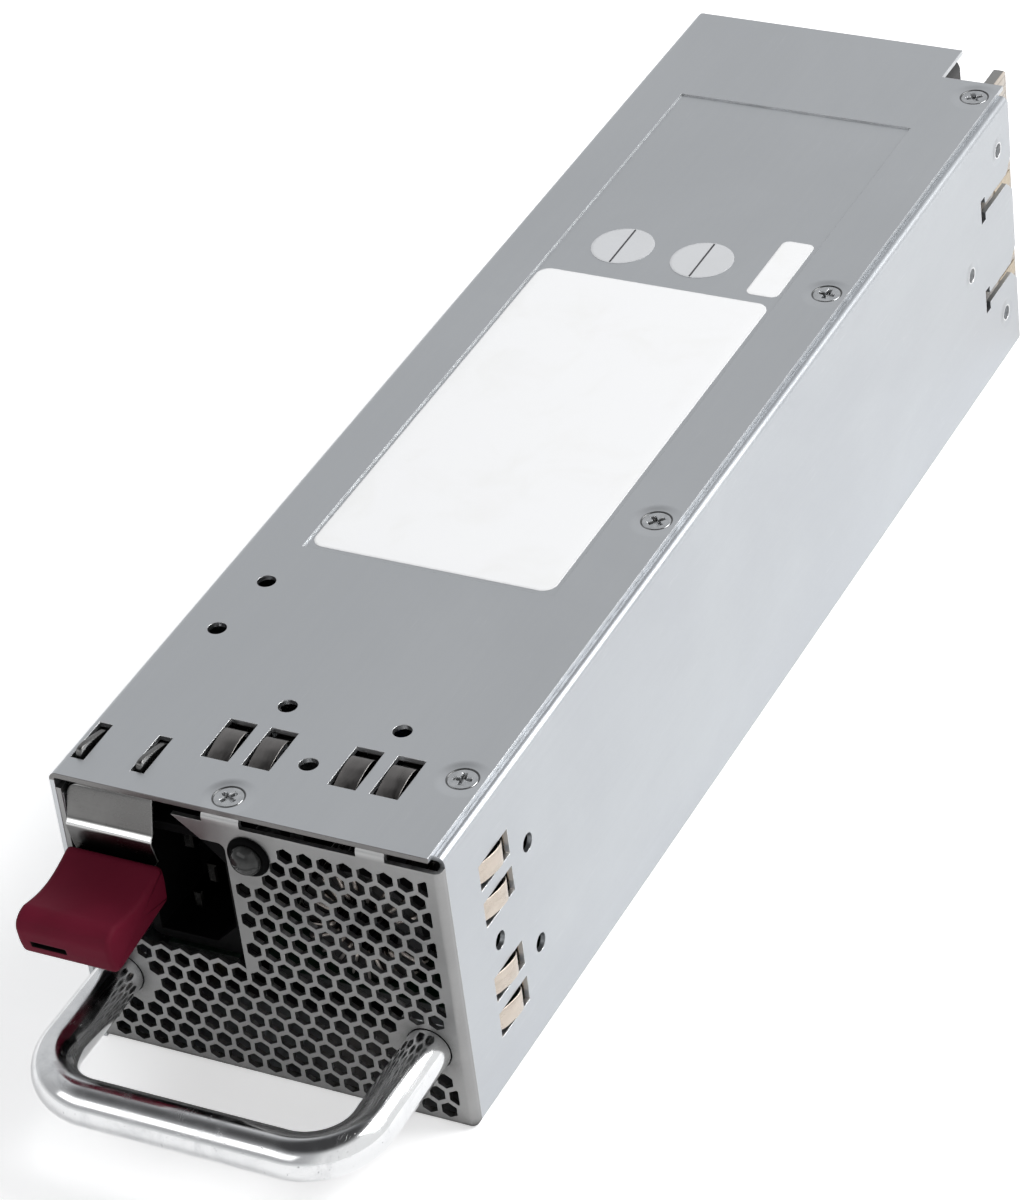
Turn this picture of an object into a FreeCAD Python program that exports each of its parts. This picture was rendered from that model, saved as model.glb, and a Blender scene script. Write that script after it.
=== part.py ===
import FreeCAD, Part
import math
import os
import re
import Sketcher
from FreeCAD import Placement, Rotation, Vector

# Hot swap server power supply, in millimetres, +Z up.
# Origin: centre of the case's base. The grille, latch and handle are at the
# front, facing -Y. Every sub-part is drawn from the case's front left bottom
# corner, or from its rear left bottom corner, and its placement puts that
# corner in the part's frame.

os.makedirs("parts", exist_ok=True)
doc = FreeCAD.newDocument("PowerSupply")
sheet = doc.addObject("Spreadsheet::Sheet", "Sizes")

# Driving dimensions
SIZES = (
    ("case_width", 78.5, "outside width of the case"),
    ("case_height", 62.6, "outside height of the case"),
    ("case_length", 283.2, "length of the case over the fan"),
    ("sheet_steel", 1.0, "thickness of the case sheet"),
    ("bend_radius", 1.5, "outside radius of the sheet's bends"),
    ("fit_gap", 0.1, "clearance between parts that slide together"),
    ("seam_inset", 2.0, "right wall's face to the lid's edge"),
    ("rear_setback", 14.2, "right wall stops this far before the fan's face"),
    ("lid_tongue", 2.5, "lid reaches past the right wall"),
    ("flange_width", 9.5, "top flange of the right wall"),
    ("left_flange_height", 12.0, "upturned flange inside the lid's left wall"),
    # front panel
    ("panel_top_gap", 3.2, "case top to the front panel's upper edge"),
    ("panel_depth", 2.2, "how far the panel's folded edges reach back"),
    ("panel_flange_reach", 8.0, "left flange of the panel, front to back"),
    ("tab_reach", 9.0, "panel tabs under the lid, front to back"),
    ("screw_tab_left", 31.1, "left side of the screwed tab"),
    ("screw_tab_width", 7.6, "width of the screwed tab"),
    ("plain_tab_inset", 10.8, "right wall's face to the plain tab"),
    ("plain_tab_width", 5.7, "width of the plain tab"),
    ("hole_flats", 3.1, "honeycomb hole across its flats"),
    ("hole_pitch", 4.0, "honeycomb pitch along a row"),
    ("first_row", 3.48, "height of the lowest row of holes"),
    ("grille_border", 2.9, "plain border at the panel's sides"),
    ("grille_top_border", 2.0, "plain border under the panel's upper edge"),
    ("foot_border", 6.4, "plain radius round a handle foot"),
    ("lamp_border", 5.6, "plain radius round the lamp"),
    # mains inlet
    ("inlet_left", 14.7, "left side of the inlet"),
    ("inlet_drop", 35.4, "case top to the inlet's underside"),
    ("inlet_width", 20.0, "inlet across its short side"),
    ("inlet_height", 27.6, "inlet along its long side"),
    ("inlet_setback", 2.4, "front plane to the inlet's face"),
    ("inlet_depth", 19.0, "inlet body, front to back"),
    ("inlet_wall", 1.8, "wall round the inlet's cavity"),
    ("inlet_floor", 3.0, "wall behind the inlet's cavity"),
    ("inlet_chamfer", 4.6, "chamfer of the cavity's right corners"),
    ("inlet_flange", 3.0, "mounting flange beside the inlet"),
    ("blade_width", 4.0, "contact blade, wide side"),
    ("blade_thick", 2.0, "contact blade, narrow side"),
    ("blade_spacing", 14.0, "between the two power blades"),
    ("blade_offset", 4.0, "earth blade out of the power blades' line"),
    ("blade_recess", 4.0, "blade tips behind the inlet's face"),
    ("blade_tail", 6.0, "solder tails behind the inlet"),
    ("window_gap", 0.3, "panel window round the inlet"),
    ("window_shoulder", 30.2, "where the window's slanted edge meets its top edge"),
    ("window_slant_top", 24.8, "slanted edge at the panel's upper edge"),
    # lamp
    ("lamp_x", 39.8, "status lamp from the left side"),
    ("lamp_drop", 9.0, "case top to the status lamp's middle"),
    ("lamp_bezel", 8.4, "diameter of the lamp's bezel"),
    ("lamp_barrel", 7.0, "diameter of the lamp's barrel"),
    ("lamp_dome", 5.4, "diameter of the lens"),
    # handle
    ("handle_rod", 8.8, "diameter of the handle's rod"),
    ("handle_inset", 7.5, "side of the case to a leg's axis"),
    ("handle_height", 17.6, "height of the handle"),
    ("handle_reach", 33.3, "front plane to the grip's axis"),
    ("handle_bend", 12.0, "bend radius of the handle's axis"),
    ("handle_pad", 2.0, "thickness of the backing pads"),
    ("handle_pad_side", 10.6, "side of the square backing pads"),
    ("handle_screw", 4.0, "screw in a handle leg"),
    # latch
    ("leaf_left", 2.45, "left edge of the latch leaf"),
    ("leaf_width", 17.8, "width of the latch leaf"),
    ("leaf_thick", 0.8, "thickness of the latch leaf"),
    ("leaf_gap", 0.3, "latch leaf under the lid"),
    ("leaf_front", 1.5, "front plane to where the leaf turns down"),
    ("flex_line", 42.0, "front plane to the line where the leaf flexes"),
    ("flexure_length", 30.0, "clamped tail of the leaf"),
    ("tooth_rise", 1.5, "teeth above the lid"),
    ("tooth_thick", 1.2, "thickness of a latch tooth"),
    ("tooth_front", 5.7, "front plane to the steep face of a tooth"),
    ("tooth_length", 9.6, "length of a tooth at the lid"),
    ("slot_width", 2.8, "latch slots in the lid, across"),
    ("slot_front", 5.2, "front plane to the latch slots"),
    ("slot_length", 10.7, "latch slots, front to back"),
    ("left_slot", 3.05, "middle of the left latch slot"),
    ("right_slot", 15.55, "middle of the right latch slot"),
    ("grip_left", 2.2, "left side of the release grip"),
    ("grip_width", 18.0, "width of the release grip"),
    ("grip_nose", 21.7, "grip in front of the front plane"),
    ("leaf_bend", 1.2, "size of the leaf's bend under the lid"),
    ("knee_drop", 10.7, "case top to the leaf's knee"),
    ("knee_reach", 1.3, "knee in front of the front plane"),
    ("knee_half", 0.7, "half height of the knee's ridge"),
    ("waist_drop", 15.0, "case top to the leaf's waist, above the grip"),
    ("waist_reach", 0.2, "waist in front of the front plane"),
    ("hook_drop", 17.6, "case top to the leaf's turn inside the grip"),
    ("hook_reach", 3.4, "that turn in front of the front plane"),
    ("leaf_end_drop", 20.0, "case top to the leaf's end inside the grip"),
    ("leaf_end_reach", 11.0, "leaf's end in front of the front plane"),
    ("flexure_step", 6.0, "flex line to where the tail meets the lid"),
    ("clamp_hole_left", 8.4, "left side to the nearer hole over the tail"),
    ("clamp_hole_right", 10.2, "left side to the farther hole over the tail"),
    ("clamp_hole_near", 5.8, "flex line to the nearer hole over the tail"),
    ("clamp_hole_far", 21.8, "flex line to the farther hole over the tail"),
    ("grip_drop", 16.1, "case top to the grip's rear top edge"),
    ("grip_depth", 9.5, "height of the grip"),
    ("grip_round", 1.0, "rounding of the grip's edges"),
    # spring contacts and screws
    ("finger_window_width", 5.6, "window over a contact finger, across"),
    ("finger_window_length", 11.4, "window over a contact finger, along"),
    ("finger_window_front", 13.0, "front plane to the contact windows"),
    ("finger_inner", 8.7, "middle of the pattern to its inner windows"),
    ("finger_outer", 17.1, "middle of the pattern to its outer windows"),
    ("finger_shift", 0.475, "pattern on the lid, left of the middle between latch and flange"),
    ("finger_side_middle", 31.2, "middle of the pattern on the right wall"),
    ("finger_width", 4.4, "width of a contact finger"),
    ("finger_thick", 0.25, "thickness of the contact strips"),
    ("finger_rise", 0.9, "contact fingers above the case's surface"),
    ("contact_border", 1.8, "contact strip in front of and behind its windows"),
    ("contact_side_border", 0.9, "contact strip beside its windows"),
    ("vent_hole", 3.7, "round holes beside the contact windows"),
    ("vent_side", 11.7, "round holes from the pattern's middle, across"),
    ("vent_front", 17.0, "front plane to the middle round hole"),
    ("vent_back", 30.9, "front plane to the outer round holes"),
    ("screw_head", 5.9, "countersunk head"),
    ("screw_shank", 3.0, "screw shank"),
    ("screw_length", 4.0, "length of the lid screws"),
    ("side_screw_length", 2.9, "length of the left wall's screws"),
    ("lid_screw_inset", 6.1, "right wall's face to the lid's screw line"),
    ("lid_screw_first", 22.0, "front plane to the first screw of the line"),
    ("lid_screw_pitch", 81.8, "between the screws of the line"),
    ("lid_screw_last", 3.5, "right wall's rear edge to the last screw of the line"),
    ("tab_screw_y", 4.2, "front plane to the screw in the panel's tab"),
    ("side_screw_z", 6.0, "height of the screws in the left wall"),
    ("side_screw_rear_gap", 15.7, "last left screw to the fan"),
    ("side_screw_first", 32.0, "front plane to the first left screw"),
    # lid panel
    ("panel_recess", 0.4, "depth of the lid's label panel"),
    ("recess_left", 11.3, "left side of the label panel"),
    ("recess_width", 52.9, "width of the label panel"),
    ("recess_front", 76.0, "front plane to the label panel"),
    ("recess_rear_gap", 19.0, "label panel to the right wall's rear edge"),
    # right wall, rear end
    ("bay_slot_height", 2.4, "slots that enter the wall from its rear edge"),
    ("bay_slot_reach", 17.5, "length of the wall's rear slots"),
    ("bay_slot_end", 5.7, "height of the upright slot at the inner end"),
    ("bay_slot_upper", 43.1, "height of the upper rear slot"),
    ("bay_slot_lower", 20.7, "height of the lower rear slot"),
    ("bay_notch", 3.0, "depth of the bevelled notch at a slot's mouth"),
    ("bracket_screw_low", 11.5, "height of the lower bracket screw hole"),
    ("bracket_screw_mid", 31.7, "height of the forward bracket screw hole"),
    ("bracket_screw_high", 52.3, "height of the upper bracket screw hole"),
    ("bracket_screw_inset", 6.7, "wall's rear edge to the rear screw holes"),
    ("bracket_screw_far", 24.3, "wall's rear edge to the forward screw hole"),
    # fan
    ("fan_top_gap", 0.6, "fan under the lid"),
    ("fan_depth", 25.0, "depth of the fan"),
    ("fan_rim", 1.5, "fan frame's wall beside its bore"),
    ("fan_screw_inset", 5.0, "fan's sides to its screws"),
    ("fan_screw", 3.4, "holes in the fan's corners"),
    ("fan_rear_gap", 0.5, "fan's face inside the case's rear edge"),
    ("blade_tip_gap", 0.8, "blade tips to the bore"),
    ("strut_root", 1.5, "overlap of the struts with the seat and the frame"),
    ("rotor_inset", 2.0, "rotor in front of the fan's rear face"),
    ("hub_end", 2.0, "thickness of the hub's end"),
    ("hub_wall", 1.5, "thickness of the hub's wall"),
    ("hub_diameter", 30.0, "rotor's cup"),
    ("hub_length", 19.0, "rotor's cup, along the axis"),
    ("stator_diameter", 31.0, "motor seat of the fan frame"),
    ("stator_thick", 3.0, "motor seat, along the axis"),
    ("strut_width", 3.4, "struts that carry the motor seat"),
    ("fan_shaft", 3.0, "diameter of the rotor's shaft"),
    ("fan_bearing", 8.0, "outside diameter of the bearing tube"),
    ("blade_sweep", 42.0, "degrees a fan blade covers round the axis"),
    ("fan_blade", 1.2, "thickness of a fan blade"),
    ("fan_left", 2.1, "left side of the case to the fan"),
    ("fan_corner", 3.0, "corner radius of the fan frame"),
    ("notch_gap", 0.6, "fan to the step in the lid and floor"),
    # main board and what stands on it
    ("board_thick", 1.6, "circuit board"),
    ("board_lift", 4.0, "board above the case floor"),
    ("board_front", 21.5, "front plane to the main board"),
    ("board_side_gap", 1.2, "board to the case walls"),
    ("board_rear_gap", 3.0, "board to the fan bracket"),
    ("film_thick", 0.4, "insulating film on the floor"),
    ("standoff_diameter", 5.5, "board standoffs"),
    ("standoff_inset", 7.0, "board's edge to a standoff's axis"),
    ("board_screw_head", 5.6, "pan head of a board screw"),
    ("choke_outside", 25.0, "toroid choke, outside diameter"),
    ("choke_inside", 14.0, "toroid choke, inside diameter"),
    ("choke_length", 11.0, "toroid core, along its axis"),
    ("choke_y", 29.0, "front plane to the choke's middle"),
    ("choke_x", 46.0, "left side to the choke's middle"),
    ("wire", 1.1, "winding wire"),
    ("film_capacitor_length", 26.0, "filter capacitor, along"),
    ("film_capacitor_width", 10.0, "filter capacitor, across"),
    ("film_capacitor_height", 19.0, "filter capacitor, height"),
    ("film_capacitor_front", 46.0, "front plane to the filter capacitors"),
    ("sink_height", 40.0, "heat sinks above the board"),
    ("sink_base", 3.0, "heat sink, thickness of its web"),
    ("sink_fin", 8.0, "heat sink, length of its fins"),
    ("sink_fin_thick", 1.2, "heat sink, thickness of a fin"),
    ("sink_fin_pitch", 6.0, "heat sink, between its fins"),
    ("primary_sink_length", 62.0, "length of the primary heat sink"),
    ("secondary_sink_length", 46.0, "length of the secondary heat sink"),
    ("primary_sink_front", 54.0, "front plane to the primary heat sink"),
    ("secondary_sink_rear", 16.7, "secondary heat sink to the board's rear edge"),
    ("bulk_diameter", 25.0, "bulk capacitor"),
    ("bulk_length", 45.0, "bulk capacitor"),
    ("bulk_front", 82.0, "front plane to the bulk capacitor"),
    ("transformer_length", 42.0, "transformer core, along the case"),
    ("transformer_width", 34.0, "transformer core, across"),
    ("transformer_height", 34.0, "transformer core, height"),
    ("transformer_limb", 4.4, "transformer core's outer limbs"),
    ("transformer_yoke", 5.9, "transformer core's ends"),
    ("transformer_rear", 43.7, "transformer to the board's rear edge"),
    ("transformer_x", 42.0, "left side to the transformer's middle"),
    ("boost_diameter", 20.0, "boost choke, outside"),
    ("boost_front", 97.0, "front plane to the boost choke"),
    ("output_diameter", 10.0, "output capacitors"),
    ("output_height", 25.0, "output capacitors"),
    ("output_gap", 4.0, "transformer to the first output capacitor"),
    ("transistor_width", 15.5, "power transistor, across"),
    ("transistor_height", 20.0, "power transistor, height"),
    ("transistor_thick", 4.8, "power transistor, thickness"),
    ("transistor_lift", 12.0, "power transistor above the board"),
    ("transistor_gap", 4.0, "between power transistors"),
    ("part_gap", 1.0, "small gaps between parts on the board"),
    ("filter_gap", 6.0, "gaps round the filter capacitors"),
    ("rectifier_width", 20.0, "bridge rectifier, across"),
    ("rectifier_height", 17.0, "bridge rectifier, height"),
    # output card edge
    ("edge_board_inset", 6.1, "right wall's face to the middle of the output board"),
    ("edge_board_thick", 2.4, "output board"),
    ("edge_board_length", 74.0, "length of the output board"),
    ("edge_contact_margin", 1.0, "output board's corner to its first contact"),
    ("edge_contact_inset", 0.5, "output board's edge to its contacts"),
    ("bracket_margin", 5.0, "rear wall's bent leg past its farther screw"),
    ("edge_board_back_gap", 3.2, "output board's end inside the case's length"),
    ("edge_board_top_gap", 4.6, "output board under the case's top"),
    ("edge_chamfer", 3.0, "chamfer at the output board's end"),
    ("edge_contact_length", 9.0, "gold contacts, front to back"),
    ("edge_contact_height", 3.2, "gold contacts, across"),
    ("edge_contact_pitch", 4.6, "between the gold contacts"),
    ("edge_contact_thick", 0.15, "gold contacts"),
    ("bracket_gap", 1.0, "rear wall's slot round the output board"),
)
COUNTS = {"fan_blades": 7, "choke_turns": 20, "edge_contacts": 9, "output_capacitors": 3}
MEANING = {name: meaning for name, _, meaning in SIZES}

for row, (name, value, meaning) in enumerate(SIZES, start=1):
    sheet.set(f"A{row}", meaning)
    sheet.set(f"B{row}", str(value))
    sheet.setAlias(f"B{row}", name)
doc.recompute()
FINISHED = []


def size(name):
    """The number that the sheet holds under a name."""
    return float(sheet.get(name))


def sized(text):
    """An expression whose size names point at the sheet."""
    return re.sub(r"[a-z]\w*", lambda word: "Sizes." + word[0] if word[0] in MEANING else word[0], str(text))


def bind(item, **paths):
    """Binds properties to expressions. A double underscore stands for a dot."""
    for path, text in paths.items():
        item.setExpression(path.replace("__", "."), sized(text))
    return item


def finish(item, label, x="0", y="0", z="0", rear=False):
    """Names a sub-part and places its drawing corner in the part's frame."""
    item.Label = label
    along = "case_length / 2" if rear else "-case_length / 2"
    bind(item, Placement__Base__x=f"-case_width / 2 + {x}", Placement__Base__y=f"{along} + {y}",
         Placement__Base__z=z)
    FINISHED.append(item)
    return item


# Sketch and feature helpers

def new_body(name):
    return doc.addObject("PartDesign::Body", name)


def new_sketch(body, role, name, offset="0"):
    """A sketch on one of its body's own origin planes, moved along the normal."""
    sketch = body.newObject("Sketcher::SketchObject", name)
    plane = next(item for item in body.Origin.OriginFeatures if item.Role == role)
    sketch.AttachmentSupport = (plane, [""])
    sketch.MapMode = "FlatFace"
    sketch.setExpression("AttachmentOffset.Base.z", sized(offset))
    return sketch


def fix_point(sketch, element, corner, across, up):
    """Fixes a point of a sketch by two expressions, from the sketch's origin."""
    for kind, text in (("DistanceX", across), ("DistanceY", up)):
        index = sketch.addConstraint(Sketcher.Constraint(kind, -1, 1, element, corner, 1.0))
        sketch.setExpression(f"Constraints[{index}]", sized(text))


def outline(sketch, corners):
    """A closed outline of straight lines through corners given as expressions."""
    count = len(corners)
    first = len(sketch.Geometry)
    start = [Vector(math.cos(2 * math.pi * i / count), math.sin(2 * math.pi * i / count), 0)
             for i in range(count)]
    lines = [Part.LineSegment(start[i], start[(i + 1) % count]) for i in range(count)]
    sketch.addGeometry(lines, False)
    for i in range(count):
        sketch.addConstraint(Sketcher.Constraint("Coincident", first + i, 2, first + (i + 1) % count, 1))
    for i, (across, up) in enumerate(corners):
        fix_point(sketch, first + i, 1, across, up)


def rectangle(sketch, left, bottom, right, top):
    outline(sketch, ((left, bottom), (right, bottom), (right, top), (left, top)))


def circle(sketch, across, up, diameter):
    index = sketch.addGeometry(Part.Circle(Vector(1, 1, 0), Vector(0, 0, 1), 1.0), False)
    fix_point(sketch, index, 3, across, up)
    constraint = sketch.addConstraint(Sketcher.Constraint("Diameter", index, 2.0))
    sketch.setExpression(f"Constraints[{constraint}]", sized(diameter))


def volume(item):
    return item.Shape.Volume if item is not None and not item.Shape.isNull() else 0.0


def pad(body, sketch, length, reverse=False, name="Pad"):
    """Adds material over a sketch. Reversed pads go against the sketch's normal."""
    feature = body.newObject("PartDesign::Pad", name)
    feature.Profile = sketch
    feature.Reversed = reverse
    feature.Refine = False
    bind(feature, Length=length)
    doc.recompute()
    return feature


def pocket(body, sketch, length=None, reverse=False, name="Pocket"):
    """Cuts a sketch out of its body, through all of it when no length is given."""
    before = volume(body.Tip)
    feature = body.newObject("PartDesign::Pocket", name)
    feature.Profile = sketch
    feature.Reversed = reverse
    feature.Refine = False
    if length is None:
        feature.Type = "ThroughAll"
    else:
        bind(feature, Length=length)
    doc.recompute()
    if volume(feature) > before - 0.01:
        raise RuntimeError(f"{body.Name}: {name} cuts nothing")
    return feature


def spun(body, profile, name):
    """Turn a half profile about its upright axis."""
    turn = body.newObject("PartDesign::Revolution", name)
    turn.Profile = profile
    turn.ReferenceAxis = (profile, ["V_Axis"])
    turn.Angle = 360
    turn.Refine = False
    doc.recompute()
    return turn


def edge_names(feature, test):
    """Names of the edges whose middle point passes a test."""
    names = []
    for number, edge in enumerate(feature.Shape.Edges, start=1):
        middle = edge.valueAt((edge.FirstParameter + edge.LastParameter) / 2)
        if test(edge, middle):
            names.append(f"Edge{number}")
    return names


def fillet(body, test, radius, name="Bend"):
    """Rounds the body's edges that pass a test."""
    base = body.Tip
    feature = body.newObject("PartDesign::Fillet", name)
    feature.Base = (base, edge_names(base, test))
    feature.Refine = False
    bind(feature, Radius=radius)
    doc.recompute()
    return feature


def chamfer(body, test, length, name="Bevel"):
    base = body.Tip
    feature = body.newObject("PartDesign::Chamfer", name)
    feature.Base = (base, edge_names(base, test))
    feature.Refine = False
    bind(feature, Size=length)
    doc.recompute()
    return feature


def runs_along(edge, axis):
    """True for a straight edge parallel to a world axis."""
    ends = [vertex.Point for vertex in edge.Vertexes]
    if len(ends) != 2:
        return False
    run = ends[1].sub(ends[0])
    if run.Length < 1e-6:
        return False
    return abs(abs(run.normalize().dot(axis)) - 1) < 1e-6


X_AXIS, Y_AXIS, Z_AXIS = Vector(1, 0, 0), Vector(0, 1, 0), Vector(0, 0, 1)
ALONG_Y = Rotation(X_AXIS, -90)
ALONG_X = Rotation(Y_AXIS, 90)
UPRIGHT = Rotation()


def near(point, **wanted):
    """True where a point's named coordinates match."""
    return all(abs(getattr(point, axis) - value) < 1e-4 for axis, value in wanted.items())


def box(name, x, y, z, length, width, height):
    item = doc.addObject("Part::Box", name)
    return bind(item, Length=length, Width=width, Height=height,
                Placement__Base__x=x, Placement__Base__y=y, Placement__Base__z=z)


def cylinder(name, diameter, length, x, y, z, turn=UPRIGHT):
    item = doc.addObject("Part::Cylinder", name)
    item.Placement = Placement(Vector(), turn)
    return bind(item, Radius=f"({diameter}) / 2", Height=length,
                Placement__Base__x=x, Placement__Base__y=y, Placement__Base__z=z)


def cone(name, wide, narrow, length, x, y, z, turn=UPRIGHT):
    item = doc.addObject("Part::Cone", name)
    item.Placement = Placement(Vector(), turn)
    return bind(item, Radius1=f"({wide}) / 2", Radius2=f"({narrow}) / 2", Height=length,
                Placement__Base__x=x, Placement__Base__y=y, Placement__Base__z=z)


def fuse(name, *items):
    item = doc.addObject("Part::MultiFuse", name)
    item.Shapes = list(items)
    return item


def cut(name, base, *tools):
    item = doc.addObject("Part::Cut", name)
    item.Base = base
    item.Tool = tools[0] if len(tools) == 1 else fuse(name + "Tools", *tools)
    return item


def group(name, items):
    """Separate solids that share one node."""
    item = doc.addObject("Part::Compound", name)
    item.Links = list(items)
    return item


# Places that several pieces share
LID_UNDER = "(case_height - sheet_steel)"
LID_EDGE = "(case_width - seam_inset)"
WALL_END = "(case_length - rear_setback)"
FAN_SIDE = "(case_height - 2 * sheet_steel - fan_top_gap)"
FAN_BORE = f"({FAN_SIDE} - 2 * fan_rim)"
FAN_RIGHT = f"(fan_left + {FAN_SIDE})"
NOTCH_LEFT = f"({FAN_RIGHT} + notch_gap)"
PANEL_TOP = "(case_height - panel_top_gap)"
INNER_RIGHT = "(case_width - sheet_steel)"
BOARD_TOP = "(sheet_steel + board_lift + board_thick)"
FAN_FRONT = "(case_length - fan_rear_gap - fan_depth)"
SCREW_LINE = "(case_width - lid_screw_inset)"
INLET_BOTTOM = "(case_height - inlet_drop)"
LAMP_Z = "(case_height - lamp_drop)"
EDGE_BOARD_X = "(case_width - edge_board_inset)"
FINGER_MIDDLE = "((leaf_left + leaf_width + case_width - flange_width) / 2 - finger_shift)"
FINGER_OFFSETS = ("-finger_outer", "-finger_inner", "finger_inner", "finger_outer")
LID_SCREWS = [("screw_tab_left + screw_tab_width / 2", "tab_screw_y")]
LID_SCREWS += [(SCREW_LINE, f"lid_screw_first + {i} * lid_screw_pitch") for i in range(3)]
LID_SCREWS += [(SCREW_LINE, f"{WALL_END} - lid_screw_last")]
SIDE_SCREWS = [f"side_screw_first + {i / 2} * ({FAN_FRONT} - side_screw_rear_gap - side_screw_first)"
               for i in range(3)]
CLAMP_HOLES = (("clamp_hole_left", "flex_line + clamp_hole_near"),
               ("clamp_hole_right", "flex_line + clamp_hole_far"))
BRACKET_SCREWS = (("bracket_screw_inset", "bracket_screw_low"), ("bracket_screw_inset", "bracket_screw_high"),
                  ("bracket_screw_far", "bracket_screw_mid"))


def contact_windows(sketch, middle):
    """The four windows of the contact pattern, across and along the sketch."""
    for offset in FINGER_OFFSETS:
        left = f"{middle} + {offset} - finger_window_width / 2"
        rectangle(sketch, left, "finger_window_front", f"{left} + finger_window_width",
                  "finger_window_front + finger_window_length")


def side_windows(sketch, middle):
    """The same four windows on an upright wall, where the first axis runs back."""
    for offset in FINGER_OFFSETS:
        low = f"{middle} + {offset} - finger_window_width / 2"
        rectangle(sketch, "finger_window_front", low, "finger_window_front + finger_window_length",
                  f"{low} + finger_window_width")


# Case

def make_tray():
    """Floor, right wall with its top flange, and a low left flange, from one blank."""
    body = new_body("ChassisTray")
    profile = new_sketch(body, "XZ_Plane", "TrayProfile", "-panel_depth")
    outline(profile, (
        ("sheet_steel", "0"), ("case_width", "0"), ("case_width", LID_UNDER),
        ("case_width - flange_width", LID_UNDER),
        ("case_width - flange_width", f"{LID_UNDER} - sheet_steel"),
        (INNER_RIGHT, f"{LID_UNDER} - sheet_steel"), (INNER_RIGHT, "sheet_steel"),
        ("2 * sheet_steel", "sheet_steel"), ("2 * sheet_steel", "left_flange_height"),
        ("sheet_steel", "left_flange_height")))
    pad(body, profile, "case_length - panel_depth", reverse=True, name="TrayWall")
    right, top, thick = size("case_width"), size("case_height") - size("sheet_steel"), size("sheet_steel")
    fillet(body, lambda edge, p: runs_along(edge, Y_AXIS) and (
        near(p, x=right, z=0) or near(p, x=right, z=top)), "bend_radius", "OuterBends")
    fillet(body, lambda edge, p: runs_along(edge, Y_AXIS) and (
        near(p, x=right - thick, z=thick) or near(p, x=right - thick, z=top - thick)
        or near(p, x=2 * thick, z=thick)), "bend_radius - sheet_steel", "InnerBends")
    end = new_sketch(body, "XY_Plane", "RearStep", "case_height")
    rectangle(end, NOTCH_LEFT, WALL_END, "case_width + 1", "case_length + 1")
    pocket(body, end, name="RearStepCut")
    wall = new_sketch(body, "YZ_Plane", "WallCuts", "case_width")
    side_windows(wall, "finger_side_middle")
    circle(wall, "vent_front", "finger_side_middle", "vent_hole")
    for sign in ("+", "-"):
        circle(wall, "vent_back", f"finger_side_middle {sign} vent_side", "vent_hole")
    for inset, height in BRACKET_SCREWS:
        circle(wall, f"{WALL_END} - {inset}", height, "screw_shank + fit_gap")
    for height in ("bay_slot_upper", "bay_slot_lower"):
        half = "bay_slot_height / 2"
        inner = f"{WALL_END} - bay_slot_reach"
        mouth = f"{WALL_END} - bay_notch"
        outline(wall, (
            (f"{WALL_END} + 1", f"{height} + {half} + bay_notch + 1"),
            (mouth, f"{height} + {half}"),
            (f"{inner} + bay_slot_height", f"{height} + {half}"),
            (f"{inner} + bay_slot_height", f"{height} + bay_slot_end / 2"),
            (inner, f"{height} + bay_slot_end / 2"),
            (inner, f"{height} - bay_slot_end / 2"),
            (f"{inner} + bay_slot_height", f"{height} - bay_slot_end / 2"),
            (f"{inner} + bay_slot_height", f"{height} - {half}"),
            (mouth, f"{height} - {half}"),
            (f"{WALL_END} + 1", f"{height} - {half} - bay_notch - 1")))
    pocket(body, wall, "1.5 * sheet_steel", name="WallOpenings")
    taps = new_sketch(body, "XY_Plane", "FlangeTaps", LID_UNDER)
    for x, y in LID_SCREWS[1:]:
        circle(taps, x, y, "screw_shank + fit_gap")
    pocket(body, taps, "1.5 * sheet_steel", name="FlangeTapCut")
    left = new_sketch(body, "YZ_Plane", "LeftTaps", "sheet_steel")
    for y in SIDE_SCREWS:
        circle(left, y, "side_screw_z", "screw_shank + fit_gap")
    pocket(body, left, "1.5 * sheet_steel", reverse=True, name="LeftTapCut")
    finish(body, "chassis_tray")


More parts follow.
